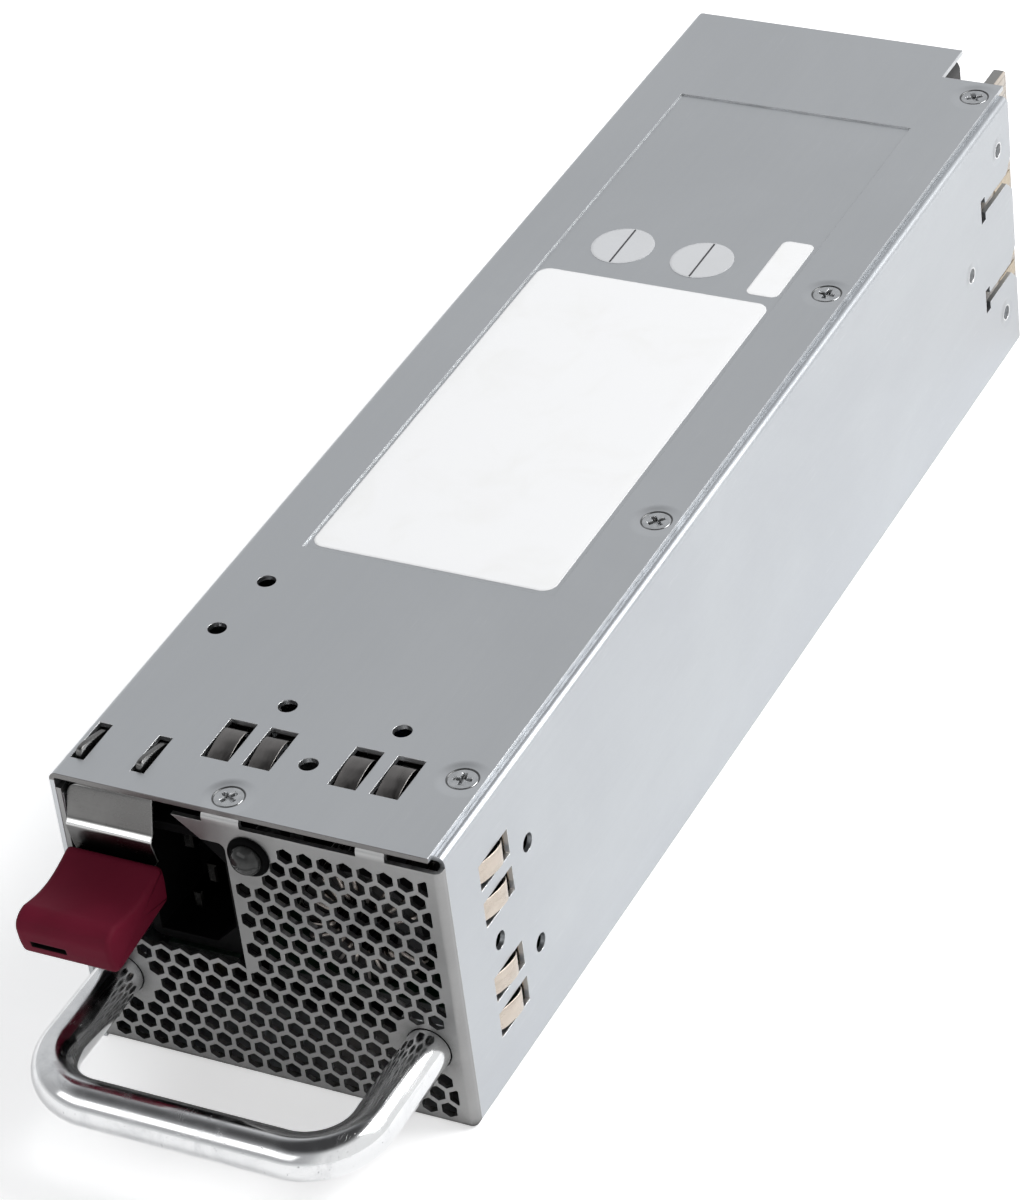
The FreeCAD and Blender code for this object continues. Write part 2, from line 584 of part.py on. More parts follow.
def make_lid():
    """Top and left wall of the case, with latch slots, contact windows and label panel."""
    body = new_body("Lid")
    profile = new_sketch(body, "XZ_Plane", "LidProfile")
    outline(profile, (
        ("0", "0"), ("0", "case_height"), (LID_EDGE, "case_height"), (LID_EDGE, LID_UNDER),
        ("sheet_steel", LID_UNDER), ("sheet_steel", "0")))
    pad(body, profile, "case_length", reverse=True, name="LidWall")
    top, thick = size("case_height"), size("sheet_steel")
    fillet(body, lambda edge, p: runs_along(edge, Y_AXIS) and near(p, x=0, z=top), "bend_radius", "OuterBend")
    fillet(body, lambda edge, p: runs_along(edge, Y_AXIS) and near(p, x=thick, z=top - thick),
           "bend_radius - sheet_steel", "InnerBend")
    recess_end = f"{WALL_END} - recess_rear_gap"
    boss = new_sketch(body, "XY_Plane", "LabelPanelUnder", LID_UNDER)
    rectangle(boss, "recess_left", "recess_front", "recess_left + recess_width", recess_end)
    pad(body, boss, "panel_recess", reverse=True, name="LabelPanelBack")
    panel = new_sketch(body, "XY_Plane", "LabelPanel", "case_height")
    rectangle(panel, "recess_left", "recess_front", "recess_left + recess_width", recess_end)
    pocket(body, panel, "panel_recess", name="LabelPanelRecess")
    holes = new_sketch(body, "XY_Plane", "LidOpenings", "case_height")
    contact_windows(holes, FINGER_MIDDLE)
    circle(holes, FINGER_MIDDLE, "vent_front", "vent_hole")
    for sign in ("+", "-"):
        circle(holes, f"{FINGER_MIDDLE} {sign} vent_side", "vent_back", "vent_hole")
    for middle in ("left_slot", "right_slot"):
        rectangle(holes, f"{middle} - slot_width / 2", "slot_front", f"{middle} + slot_width / 2",
                  "slot_front + slot_length")
    for x, y in CLAMP_HOLES:
        circle(holes, x, y, "vent_hole")
    rectangle(holes, NOTCH_LEFT, f"{WALL_END} + lid_tongue", f"{LID_EDGE} + 1", "case_length + 1")
    pocket(body, holes, name="LidOpeningCut")
    heads = new_sketch(body, "XY_Plane", "LidScrewHoles", "case_height")
    for x, y in LID_SCREWS:
        circle(heads, x, y, "screw_shank + fit_gap")
    countersink(body, heads, "LidScrewSinks")
    side = new_sketch(body, "YZ_Plane", "SideScrewHoles")
    for y in SIDE_SCREWS:
        circle(side, y, "side_screw_z", "screw_shank + fit_gap")
    countersink(body, side, "SideScrewSinks", reverse=True)
    finish(body, "lid")


def countersink(body, sketch, name, reverse=False):
    """Screw holes whose head seat is as deep as the sheet."""
    before = volume(body.Tip)
    doc.recompute()
    feature = body.newObject("PartDesign::Hole", name)
    feature.Profile = sketch
    doc.recompute()
    feature.Reversed = reverse
    feature.DepthType = "Dimension"
    feature.DrillPoint = "Flat"
    feature.HoleCutType = "Countersink"
    feature.HoleCutCustomValues = True
    feature.Refine = False
    bind(feature, Diameter="screw_shank + fit_gap", Depth="1.5 * sheet_steel",
         HoleCutDiameter="screw_head + fit_gap",
         HoleCutCountersinkAngle="2 * atan((screw_head - screw_shank) / 2 / sheet_steel)")
    doc.recompute()
    if volume(feature) > before - 0.01:
        raise RuntimeError(f"{body.Name}: {name} cuts nothing")


def inlet_base():
    """Height of the inlet's underside."""
    return size("case_height") - size("inlet_drop")


def lamp_height():
    return size("case_height") - size("lamp_drop")


def window_row():
    """The highest row of holes that lies wholly under the inlet."""
    row_pitch = size("hole_pitch") * math.sqrt(3) / 2
    web = size("hole_pitch") - size("hole_flats")
    peak = (size("hole_flats") / 2 + web) / math.cos(math.pi / 6)
    return int((inlet_base() - peak - size("first_row")) / row_pitch)


def window_outline():
    """The panel's window: scalloped along the row of holes below the inlet, and
    open at the panel's upper edge where the latch comes down."""
    pitch, flats = size("hole_pitch"), size("hole_flats")
    row = window_row()
    row_z = size("first_row") + row * pitch * math.sqrt(3) / 2
    peak = row_z + (flats / 2 + pitch - flats) / math.cos(math.pi / 6)
    left = size("sheet_steel") + size("fit_gap") + size("sheet_steel")
    right = size("inlet_left") + size("inlet_width") + size("window_gap")
    ceiling = inlet_base() + size("inlet_height") + size("window_gap")
    over = size("case_height")

    def scallop(x):
        away = abs((x - row_start(row)) / pitch - round((x - row_start(row)) / pitch)) * pitch
        return peak - away * math.tan(math.pi / 6)

    steps = [left, right]
    first = row_start(row)
    half = pitch / 2
    steps += [first + half * i for i in range(int(size("case_width") / half))
              if left < first + half * i < right]
    lower = [(x, scallop(x)) for x in sorted(steps)]
    slope = (size("window_shoulder") - size("window_slant_top")) / (size("case_height")
             - size("panel_top_gap") - ceiling)
    beyond = size("window_slant_top") - slope * (over - size("case_height") + size("panel_top_gap"))
    upper = [(right, ceiling), (size("window_shoulder"), ceiling), (beyond, over), (left, over)]
    return lower + upper


def row_start(row):
    """Centre of a hole near the left side, in the row's own offset."""
    middle = size("case_width") / 2
    pitch = size("hole_pitch")
    shift = pitch / 2 if row % 2 == 0 else 0.0
    return middle + shift - pitch * math.floor((middle + shift) / pitch)


def clipped(points, low, high):
    """The part of a convex outline between two x values."""
    for limit, keep in ((low, 1), (high, -1)):
        kept = []
        for i, (x, z) in enumerate(points):
            x_next, z_next = points[(i + 1) % len(points)]
            inside, inside_next = keep * (x - limit) >= 0, keep * (x_next - limit) >= 0
            if inside:
                kept.append((x, z))
            if inside != inside_next:
                share = (limit - x) / (x_next - x)
                kept.append((limit, z + share * (z_next - z)))
        points = kept
    return points


def honeycomb():
    """Outlines of every hole that the panel's features leave room for."""
    pitch, flats = size("hole_pitch"), size("hole_flats")
    radius = flats / math.sqrt(3)
    web = pitch - flats
    low, high = size("grille_border"), size("case_width") - size("grille_border")
    roof = size("case_height") - size("panel_top_gap") - size("grille_top_border")
    window_right = size("inlet_left") + size("inlet_width") + size("window_gap")
    window_top = inlet_base() + size("inlet_height") + size("window_gap")
    feet = (size("handle_inset"), size("case_width") - size("handle_inset"))
    plain = [(x, size("handle_height"), size("foot_border")) for x in feet]
    plain.append((size("lamp_x"), lamp_height(), size("lamp_border")))
    holes = []
    row = 0
    while size("first_row") + row * pitch * math.sqrt(3) / 2 + radius < roof:
        z = size("first_row") + row * pitch * math.sqrt(3) / 2
        x = row_start(row)
        while x - flats / 2 < high:
            left_limit = low
            if row > window_row():
                left_limit = window_right + web
            beside_shoulder = z + radius + web > window_top and x < window_right
            corner = [(x + radius * math.sin(math.pi / 3 * i), z + radius * math.cos(math.pi / 3 * i))
                      for i in range(6)]
            shape = clipped(corner, left_limit, high)
            wide = max(p[0] for p in shape) - min(p[0] for p in shape) if len(shape) > 2 else 0.0
            clear = all(math.hypot(x - px, z - pz) > reach for px, pz, reach in plain)
            if wide > 0.3 * flats and clear and not beside_shoulder:
                holes.append(shape)
            x += pitch
        row += 1
    return holes


def flat_wire(points, y):
    """A closed wire in an upright plane across the case."""
    loop = [Vector(x, y, z) for x, z in points]
    return Part.makePolygon(loop + loop[:1])


def make_front_grille():
    """Front panel: a folded border fused with the honeycomb sheet that it frames."""
    border = new_body("PanelBorder")
    left = "sheet_steel + fit_gap"
    face = new_sketch(border, "XZ_Plane", "PanelFace")
    rectangle(face, left, "0", "case_width", PANEL_TOP)
    pad(border, face, "panel_depth", reverse=True, name="PanelBlank")
    right = size("case_width")
    fillet(border, lambda edge, p: runs_along(edge, Y_AXIS) and near(p, x=right, z=0), "bend_radius",
           "Corner")
    fillet(border, lambda edge, p: near(p, y=0) and (near(p, z=0) or near(p, x=right) or
           (p.z < size("bend_radius") and p.x > right - size("bend_radius"))),
           "bend_radius - fit_gap", "FrontBends")
    hollow = new_sketch(border, "XZ_Plane", "PanelInside", "-panel_depth")
    rectangle(hollow, f"{left} + sheet_steel", "sheet_steel", INNER_RIGHT, f"{PANEL_TOP} + 1")
    pocket(border, hollow, "panel_depth - sheet_steel", reverse=True, name="PanelHollow")
    opening = new_sketch(border, "XZ_Plane", "MeshOpening")
    rectangle(opening, f"{left} + sheet_steel", "bend_radius", "case_width - bend_radius", f"{PANEL_TOP} + 1")
    pocket(border, opening, "2 * sheet_steel", name="MeshOpeningCut")
    side = new_sketch(border, "XZ_Plane", "LeftFlange", "-panel_depth")
    rectangle(side, left, "left_flange_height + 1", f"{left} + sheet_steel", f"{PANEL_TOP} - sheet_steel")
    pad(border, side, "panel_flange_reach", reverse=True, name="LeftFlangeWall")
    tab_edge = f"({PANEL_TOP} - sheet_steel)"
    tabs = []
    for number, (start, width) in enumerate((("screw_tab_left", "screw_tab_width"),
                                             ("case_width - plain_tab_inset - plain_tab_width",
                                              "plain_tab_width"))):
        tab = new_body(f"Tab{number}")
        bent = new_sketch(tab, "YZ_Plane", f"TabProfile{number}", start)
        inner = f"{LID_UNDER} - sheet_steel"
        outline(bent, (("0", tab_edge), ("sheet_steel", tab_edge), ("sheet_steel", inner),
                       ("tab_reach", inner), ("tab_reach", LID_UNDER), ("0", LID_UNDER)))
        pad(tab, bent, width, name=f"TabBend{number}")
        under = size("case_height") - size("sheet_steel")
        fillet(tab, lambda edge, p: runs_along(edge, X_AXIS) and near(p, y=0, z=under), "bend_radius",
               f"TabOuter{number}")
        fillet(tab, lambda edge, p: runs_along(edge, X_AXIS)
               and near(p, y=size("sheet_steel"), z=under - size("sheet_steel")),
               "bend_radius - sheet_steel", f"TabInner{number}")
        if number == 0:
            tap = new_sketch(tab, "XY_Plane", "TabTap", LID_UNDER)
            circle(tap, *LID_SCREWS[0], "screw_shank + fit_gap")
            pocket(tab, tap, "1.5 * sheet_steel", name="TabTapCut")
        tabs.append(tab)
    thick = size("sheet_steel")
    mesh_left = 2 * thick + size("fit_gap")
    mesh_right = size("case_width") - size("bend_radius")
    mesh_top = size("case_height") - size("panel_top_gap")
    frame = [(mesh_left, size("bend_radius")), (mesh_right, size("bend_radius")),
             (mesh_right, mesh_top), (mesh_left, mesh_top)]
    mesh = Part.Face([flat_wire(frame, 0)] + [flat_wire(hole, 0) for hole in honeycomb()])
    mesh = mesh.extrude(Vector(0, thick, 0))
    window = Part.Face(flat_wire(window_outline(), -thick)).extrude(Vector(0, 3 * thick, 0))
    window = window.makeFillet(size("bend_radius"), [edge for edge in window.Edges if runs_along(edge, Y_AXIS)
             and near(edge.Vertexes[0].Point, x=window_outline()[-4][0], z=window_outline()[-4][1])])
    mesh = mesh.cut(window)
    legs = (size("handle_inset"), size("case_width") - size("handle_inset"))
    for x in legs:
        mesh = mesh.cut(Part.makeCylinder(size("handle_rod") / 2 + 2 * size("fit_gap"), 3 * thick,
                                          Vector(x, -thick, size("handle_height")), Y_AXIS))
    mesh = mesh.cut(Part.makeCylinder(size("lamp_barrel") / 2 + size("fit_gap"), 3 * thick,
                                      Vector(size("lamp_x"), -thick, lamp_height()), Y_AXIS))
    sheet_metal = doc.addObject("Part::Feature", "HoneycombSheet")
    sheet_metal.Shape = mesh
    whole = fuse("FrontGrille", border, sheet_metal, *tabs)
    whole.Refine = False
    finish(whole, "front_grille")


# Mains inlet

INLET_BACK = "(inlet_setback + inlet_depth)"
INLET_MIDDLE_X = "(inlet_left + inlet_width / 2)"
INLET_MIDDLE_Z = f"({INLET_BOTTOM} + inlet_height / 2)"
POWER_LINE = f"({INLET_MIDDLE_X} - blade_offset / 2)"
EARTH_LINE = f"({INLET_MIDDLE_X} + blade_offset / 2)"
BLADES = ((POWER_LINE, "- blade_spacing / 2"), (POWER_LINE, "+ blade_spacing / 2"), (EARTH_LINE, "+ 0"))


def make_inlet():
    """Black moulded housing with the three-blade cavity, on two mounting flanges."""
    body = new_body("InletHousing")
    outer = new_sketch(body, "XZ_Plane", "InletOutside", "-inlet_setback")
    rectangle(outer, "inlet_left", INLET_BOTTOM, "inlet_left + inlet_width", f"{INLET_BOTTOM} + inlet_height")
    pad(body, outer, "inlet_depth", reverse=True, name="InletBlock")
    fillet(body, lambda edge, p: runs_along(edge, Y_AXIS), "bend_radius", "InletCorners")
    cavity = new_sketch(body, "XZ_Plane", "InletCavity", "-inlet_setback")
    left, right = "inlet_left + inlet_wall", "inlet_left + inlet_width - inlet_wall"
    low, high = f"{INLET_BOTTOM} + inlet_wall", f"{INLET_BOTTOM} + inlet_height - inlet_wall"
    outline(cavity, ((left, low), (f"{right} - inlet_chamfer", low), (right, f"{low} + inlet_chamfer"),
                     (right, f"{high} - inlet_chamfer"), (f"{right} - inlet_chamfer", high), (left, high)))
    pocket(body, cavity, "inlet_depth - inlet_floor", name="InletCavityCut")
    blades = new_sketch(body, "XZ_Plane", "BladeSlots", f"-{INLET_BACK}")
    for x, z in BLADES:
        rectangle(blades, f"{x} - blade_thick / 2", f"{INLET_MIDDLE_Z} {z} - blade_width / 2",
                  f"{x} + blade_thick / 2", f"{INLET_MIDDLE_Z} {z} + blade_width / 2")
    pocket(body, blades, "2 * inlet_floor", reverse=True, name="BladeSlotCut")
    flange = new_sketch(body, "XZ_Plane", "InletFlange", "-sheet_steel")
    outline(flange, (
        ("inlet_left + inlet_width - inlet_wall", f"{INLET_BOTTOM} - inlet_flange"),
        ("inlet_left + inlet_width + inlet_flange", f"{INLET_BOTTOM} - inlet_flange"),
        ("inlet_left + inlet_width + inlet_flange", f"{LAMP_Z} - lamp_bezel"),
        ("inlet_left + inlet_width + window_gap", f"{LAMP_Z} - lamp_bezel"),
        ("inlet_left + inlet_width + window_gap", f"{INLET_BOTTOM} - window_gap"),
        ("inlet_left + inlet_width - inlet_wall", f"{INLET_BOTTOM} - window_gap")))
    pad(body, flange, "inlet_setback", reverse=True, name="InletFlangePlate")
    rib = new_sketch(body, "XZ_Plane", "InletRib", "-inlet_setback")
    rectangle(rib, "inlet_left + inlet_width - inlet_wall / 2", f"{INLET_BOTTOM} + inlet_chamfer",
              "inlet_left + inlet_width + inlet_flange / 2", f"{LAMP_Z} - lamp_bezel - inlet_wall")
    pad(body, rib, "inlet_flange", reverse=True, name="InletFlangeRib")
    finish(body, "inlet_housing")
    pins = []
    for number, (x, z) in enumerate(BLADES):
        blade = new_body(f"Blade{number}")
        flat = new_sketch(blade, "XZ_Plane", f"BladeSection{number}", "-(inlet_setback + blade_recess)")
        rectangle(flat, f"{x} - blade_thick / 2", f"{INLET_MIDDLE_Z} {z} - blade_width / 2",
                  f"{x} + blade_thick / 2", f"{INLET_MIDDLE_Z} {z} + blade_width / 2")
        pad(blade, flat, "inlet_depth - blade_recess + blade_tail", reverse=True, name=f"BladeBar{number}")
        tip = size("inlet_setback") + size("blade_recess")
        chamfer(blade, lambda edge, p: near(p, y=tip), "blade_thick / 5", f"BladeTip{number}")
        pins.append(blade)
    finish(group("InletBlades", pins), "inlet_blades")


# Status lamp

def make_lamp():
    body = new_body("LampBezel")
    profile = new_sketch(body, "XY_Plane", "LampProfile")
    outline(profile, (
        ("lamp_dome / 2", "-sheet_steel"), ("lamp_bezel / 2 - sheet_steel / 2", "-sheet_steel"),
        ("lamp_bezel / 2", "-sheet_steel / 3"), ("lamp_bezel / 2", "0"), ("lamp_barrel / 2", "0"),
        ("lamp_barrel / 2", "4 * sheet_steel"), ("lamp_dome / 2", "4 * sheet_steel")))
    spun(body, profile, "LampTurn")
    finish(body, "lamp_bezel", x="lamp_x", z=LAMP_Z)
    stem = cylinder("LampStem", "lamp_dome - fit_gap", "9 * sheet_steel", "0", "-sheet_steel", "0", ALONG_Y)
    shoulder = cone("LampShoulder", "0.74 * lamp_dome", "lamp_dome - fit_gap", "lamp_dome / 5", "0",
                    "-sheet_steel - lamp_dome / 5", "0", ALONG_Y)
    crown = cone("LampCrown", "0.3 * lamp_dome", "0.74 * lamp_dome", "lamp_dome / 8", "0",
                 "-sheet_steel - 0.325 * lamp_dome", "0", ALONG_Y)
    finish(fuse("LampLens", stem, shoulder, crown), "lamp_lens", x="lamp_x", z=LAMP_Z)


# Handle

def make_handle():
    """A bent rod whose legs pass through the panel onto backing pads."""
    body = new_body("Handle")
    path = new_sketch(body, "XY_Plane", "HandlePath")
    left, right = size("handle_inset"), size("case_width") - size("handle_inset")
    back, front, bend = size("sheet_steel"), -size("handle_reach"), size("handle_bend")
    slant = bend * (1 - math.sqrt(0.5))
    arcs = (Part.Arc(Vector(left, front + bend, 0), Vector(left + slant, front + slant, 0),
                     Vector(left + bend, front, 0)),
            Part.Arc(Vector(right - bend, front, 0), Vector(right - slant, front + slant, 0),
                     Vector(right, front + bend, 0)))
    path.addGeometry([Part.LineSegment(Vector(left, back, 0), Vector(left, front + bend, 0)), arcs[0],
                      Part.LineSegment(Vector(left + bend, front, 0), Vector(right - bend, front, 0)),
                      arcs[1],
                      Part.LineSegment(Vector(right, front + bend, 0), Vector(right, back, 0))], False)
    section = new_sketch(body, "XZ_Plane", "HandleSection", "-sheet_steel")
    circle(section, "handle_inset", "0", "handle_rod")
    doc.recompute()
    pipe = body.newObject("PartDesign::AdditivePipe", "HandleRod")
    pipe.Profile = section
    pipe.Spine = (path, [f"Edge{i}" for i in range(1, 6)])
    pipe.Refine = False
    doc.recompute()
    taps = new_sketch(body, "XZ_Plane", "HandleTaps", "-sheet_steel")
    for x in ("handle_inset", "case_width - handle_inset"):
        circle(taps, x, "0", "handle_screw")
    pocket(body, taps, "3 * handle_screw", reverse=True, name="HandleTapCut")
    finish(body, "handle", z="handle_height")
    pads, screws = [], []
    for number, x in enumerate(("handle_inset", "(case_width - handle_inset)")):
        corner = f"{x} - handle_pad_side / 2"
        plate = box(f"PadPlate{number}", corner, "sheet_steel", "handle_height - handle_pad_side / 2",
                    "handle_pad_side", "handle_pad", "handle_pad_side")
        hole = cylinder(f"PadHole{number}", "handle_screw + fit_gap", "2 * handle_pad", x, "0",
                        "handle_height", ALONG_Y)
        pads.append(cut(f"Pad{number}", plate, hole))
        shank = cylinder(f"LegShank{number}", "handle_screw - fit_gap", "handle_pad + 2 * handle_screw", x,
                         "sheet_steel - 2 * handle_screw", "handle_height", ALONG_Y)
        head = cylinder(f"LegHead{number}", "1.8 * handle_screw", "handle_screw * 0.6", x,
                        "sheet_steel + handle_pad", "handle_height", ALONG_Y)
        screws.append(fuse(f"LegScrew{number}", shank, head))
    finish(group("HandlePads", pads), "handle_pads")
    finish(group("HandleScrews", screws), "handle_screws")


# Release latch

def offset_strip(points, thick):
    """Corners of a strip of even thickness whose upper face follows the points."""
    under = []
    for i, point in enumerate(points):
        before, after = points[max(i - 1, 0)], points[min(i + 1, len(points) - 1)]
        first = point.sub(before).normalize() if i else after.sub(point).normalize()
        second = after.sub(point).normalize() if i < len(points) - 1 else first
        mitre = first.add(second).normalize()
        normal = Vector(-mitre.y, mitre.x, 0)
        under.append(point.add(normal.multiply(thick / max(mitre.dot(first), 0.3))))
    return list(points) + under[::-1]


def set_outline(sketch, points):
    """A closed outline through points worked out from the sheet."""
    lines = [Part.LineSegment(points[i], points[(i + 1) % len(points)]) for i in range(len(points))]
    sketch.addGeometry(lines, False)


def grip_outline():
    """Side view of the release grip: a thumb saddle, a rounded nose, and a flat underside."""
    top = size("case_height") - size("grip_drop")
    under, nose = top - size("grip_depth"), -size("grip_nose")
    rear, crest, tip = Vector(-2.4, top, 0), Vector(nose * 0.8, top + 0.6, 0), Vector(nose, top - 2.4, 0)
    toe, heel = Vector(nose * 0.93, under, 0), Vector(-1.0, under + 2.5, 0)
    shoulder = Vector(-0.8, top - 2.0, 0)
    return [Part.Arc(rear, Vector(nose * 0.45, top - 1.0, 0), crest),
            Part.Arc(crest, Vector(nose * 0.965, top - 0.1, 0), tip),
            Part.LineSegment(tip, toe), Part.LineSegment(toe, heel), Part.LineSegment(heel, shoulder),
            Part.LineSegment(shoulder, rear)]


def make_latch():
    """Spring strip under the lid with two teeth, and the grip moulded on its lower end."""
    top = size("case_height") - size("sheet_steel") - size("leaf_gap")
    flex, front, thick = size("flex_line"), size("leaf_front"), size("leaf_thick")
    over, bend = size("case_height"), size("leaf_bend")
    knee, ridge, out = over - size("knee_drop"), size("knee_half"), size("knee_reach")
    strip = [Vector(flex - size("fit_gap") / 2, top, 0), Vector(front + bend, top, 0),
             Vector(front, top - bend, 0),
             Vector(ridge / 7 - out, knee + ridge, 0), Vector(-out, knee, 0),
             Vector(ridge / 3.5 - out, knee - ridge, 0),
             Vector(-size("waist_reach"), over - size("waist_drop"), 0),
             Vector(-size("hook_reach"), over - size("hook_drop"), 0),
             Vector(-size("leaf_end_reach"), over - size("leaf_end_drop"), 0)]
    body = new_body("LatchLeaf")
    profile = new_sketch(body, "YZ_Plane", "LeafProfile", "leaf_left")
    set_outline(profile, offset_strip(strip, thick))
    pad(body, profile, "leaf_width", name="LeafStrip")
    for number, middle in enumerate(("left_slot", "right_slot")):
        tooth = new_sketch(body, "YZ_Plane", f"ToothProfile{number}", f"{middle} - tooth_thick / 2")
        crest = "case_height + tooth_rise"
        outline(tooth, (
            ("tooth_front", f"{LID_UNDER} - leaf_gap - leaf_thick / 2"), ("tooth_front", f"{crest} - 0.5"),
            ("tooth_front + 0.5", crest), ("tooth_front + tooth_length / 4", crest),
            ("tooth_front + tooth_length", "case_height - sheet_steel / 2"),
            ("tooth_front + tooth_length", f"{LID_UNDER} - leaf_gap - leaf_thick / 2")))
        pad(body, tooth, "tooth_thick", name=f"Tooth{number}")
    finish(body, "latch_leaf")
    tail = box("FlexureTail", "leaf_left", "flex_line + flexure_step", f"{LID_UNDER} - leaf_thick",
               "leaf_width", "flexure_length - flexure_step", "leaf_thick")
    web = box("FlexureWeb", "leaf_left", "flex_line + fit_gap / 2", f"{LID_UNDER} - leaf_gap - leaf_thick",
              "leaf_width", "flexure_step + leaf_thick", "leaf_thick")
    relief = [cylinder(f"FlexureRelief{i}", "vent_hole + 2 * sheet_steel", "4 * leaf_thick", x, y,
                       f"{LID_UNDER} - 3 * leaf_thick")
              for i, (x, y) in enumerate(CLAMP_HOLES)]
    finish(cut("LatchFlexure", fuse("FlexureStrip", tail, web), *relief), "latch_flexure")
    grip = new_body("LatchGrip")
    side = new_sketch(grip, "YZ_Plane", "GripProfile", "grip_left")
    side.addGeometry(grip_outline(), False)
    doc.recompute()
    pad(grip, side, "grip_width", name="GripBlock")
    left, right = size("grip_left"), size("grip_left") + size("grip_width")
    fillet(grip, lambda edge, p: runs_along(edge, X_AXIS), "grip_round", "GripCorners")
    chamfer(grip, lambda edge, p: near(p, x=left) or near(p, x=right), "grip_round / 2", "GripEdges")
    inside = strip[5:]
    ahead = inside[-1].sub(inside[-2]).normalize()
    sleeve = inside[:-1] + [inside[-1].add(ahead.multiply(3 * size("fit_gap")))]
    slot = new_sketch(grip, "YZ_Plane", "GripSlot", "leaf_left - fit_gap")
    clear = size("fit_gap") / 2
    set_outline(slot, offset_strip([Vector(p.x, p.y + clear, 0) for p in sleeve], thick + 2 * clear))
    pocket(grip, slot, "leaf_width + 2 * fit_gap", reverse=True, name="GripSlotCut")
    finish(grip, "latch_grip")


# Spring contacts

def finger_outline(front, level):
    """Side view of a contact finger: up through its window, over a crest two
    thirds of the way back, and down under the sheet behind it."""
    length, thick = size("finger_window_length"), size("finger_thick")
    rise = size("finger_rise") + size("sheet_steel")
    way = ((0.0, 0.0), (0.04 * length, 0.0), (0.2 * length, 0.55 * rise), (0.6 * length, rise),
           (0.7 * length, rise), (0.8 * length, 0.6 * rise), (0.88 * length, -2 * thick),
           (1.12 * length, -3 * thick))
    spine = [Vector(front + along, level - thick + up, 0) for along, up in way]
    return offset_strip(spine, thick)


def make_contacts():
    """Two stamped strips of four fingers, under the lid and inside the right wall."""
    front = size("finger_window_front")
    for name, label, middle, level in (
            ("TopContact", "top_contact_strip", FINGER_MIDDLE, LID_UNDER),
            ("SideContact", "side_contact_strip", "finger_side_middle", INNER_RIGHT)):
        pieces = []
        reach = "2 * (finger_outer + finger_window_width / 2 + contact_side_border)"
        start = f"{middle} - finger_outer - finger_window_width / 2 - contact_side_border"
        long_way = "finger_window_length + 2 * contact_border"
        back_start = "finger_window_front - contact_border"
        gap_start = "finger_window_front + 0.02 * finger_window_length"
        if label == "top_contact_strip":
            plate = box(name + "Plate", start, back_start, f"{level} - finger_thick", reach, long_way,
                        "finger_thick")
        else:
            plate = box(name + "Plate", f"{level} - finger_thick", back_start, start, "finger_thick",
                        long_way, reach)
        tools = []
        for number, offset in enumerate(FINGER_OFFSETS):
            low = f"{middle} + {offset} - finger_window_width / 2"
            if label == "top_contact_strip":
                tools.append(box(f"{name}Gap{number}", low, gap_start,
                                 f"{level} - 2 * finger_thick", "finger_window_width",
                                 "finger_window_length", "3 * finger_thick"))
            else:
                tools.append(box(f"{name}Gap{number}", f"{level} - 2 * finger_thick",
                                 gap_start, low,
                                 "3 * finger_thick", "finger_window_length", "finger_window_width"))
        base = cut(name + "Frame", plate, *tools)
        pieces.append(base)
        for number, offset in enumerate(FINGER_OFFSETS):
            finger = new_body(f"{name}Finger{number}")
            low = f"{middle} + {offset} - finger_width / 2"
            if label == "top_contact_strip":
                bent = new_sketch(finger, "YZ_Plane", f"{name}Bend{number}", low)
                set_outline(bent, finger_outline(front, size("case_height") - size("sheet_steel")))
            else:
                bent = new_sketch(finger, "XY_Plane", f"{name}Bend{number}", low)
                points = finger_outline(front, size("case_width") - size("sheet_steel"))
                set_outline(bent, [Vector(p.y, p.x, 0) for p in points])
            pad(finger, bent, "finger_width", name=f"{name}Leaf{number}")
            pieces.append(finger)
        whole = fuse(name, *pieces)
        finish(whole, label)


# Case screws

def make_case_screws():
    top = []
    for number, (x, y) in enumerate(LID_SCREWS):
        head = cone(f"LidHead{number}", "screw_shank - fit_gap", "screw_head", "sheet_steel", x, y, LID_UNDER)
        shank = cylinder(f"LidShank{number}", "screw_shank - fit_gap", "screw_length", x, y,
                         "case_height - screw_length")
        top.append(fuse(f"LidScrew{number}", head, shank))
    finish(group("LidScrews", top), "lid_screws")
    side = []
    for number, y in enumerate(SIDE_SCREWS):
        head = cone(f"SideHead{number}", "screw_head", "screw_shank - fit_gap", "sheet_steel", "0", y,
                    "side_screw_z", ALONG_X)
        shank = cylinder(f"SideShank{number}", "screw_shank - fit_gap", "side_screw_length", "0", y,
                         "side_screw_z", ALONG_X)
        side.append(fuse(f"SideScrew{number}", head, shank))
    finish(group("SideScrews", side), "side_screws")


# Fan

FAN_MIDDLE_X = f"(fan_left + {FAN_SIDE} / 2)"
FAN_MIDDLE_Z = f"(sheet_steel + {FAN_SIDE} / 2)"
FAN_REAR = "(case_length - fan_rear_gap)"
FAN_REACH = f"({FAN_SIDE} / 2 - fan_screw_inset)"
FAN_CORNERS = [(f"{FAN_MIDDLE_X} {a} {FAN_REACH}", f"{FAN_MIDDLE_Z} {b} {FAN_REACH}")
               for a in "+-" for b in "+-"]


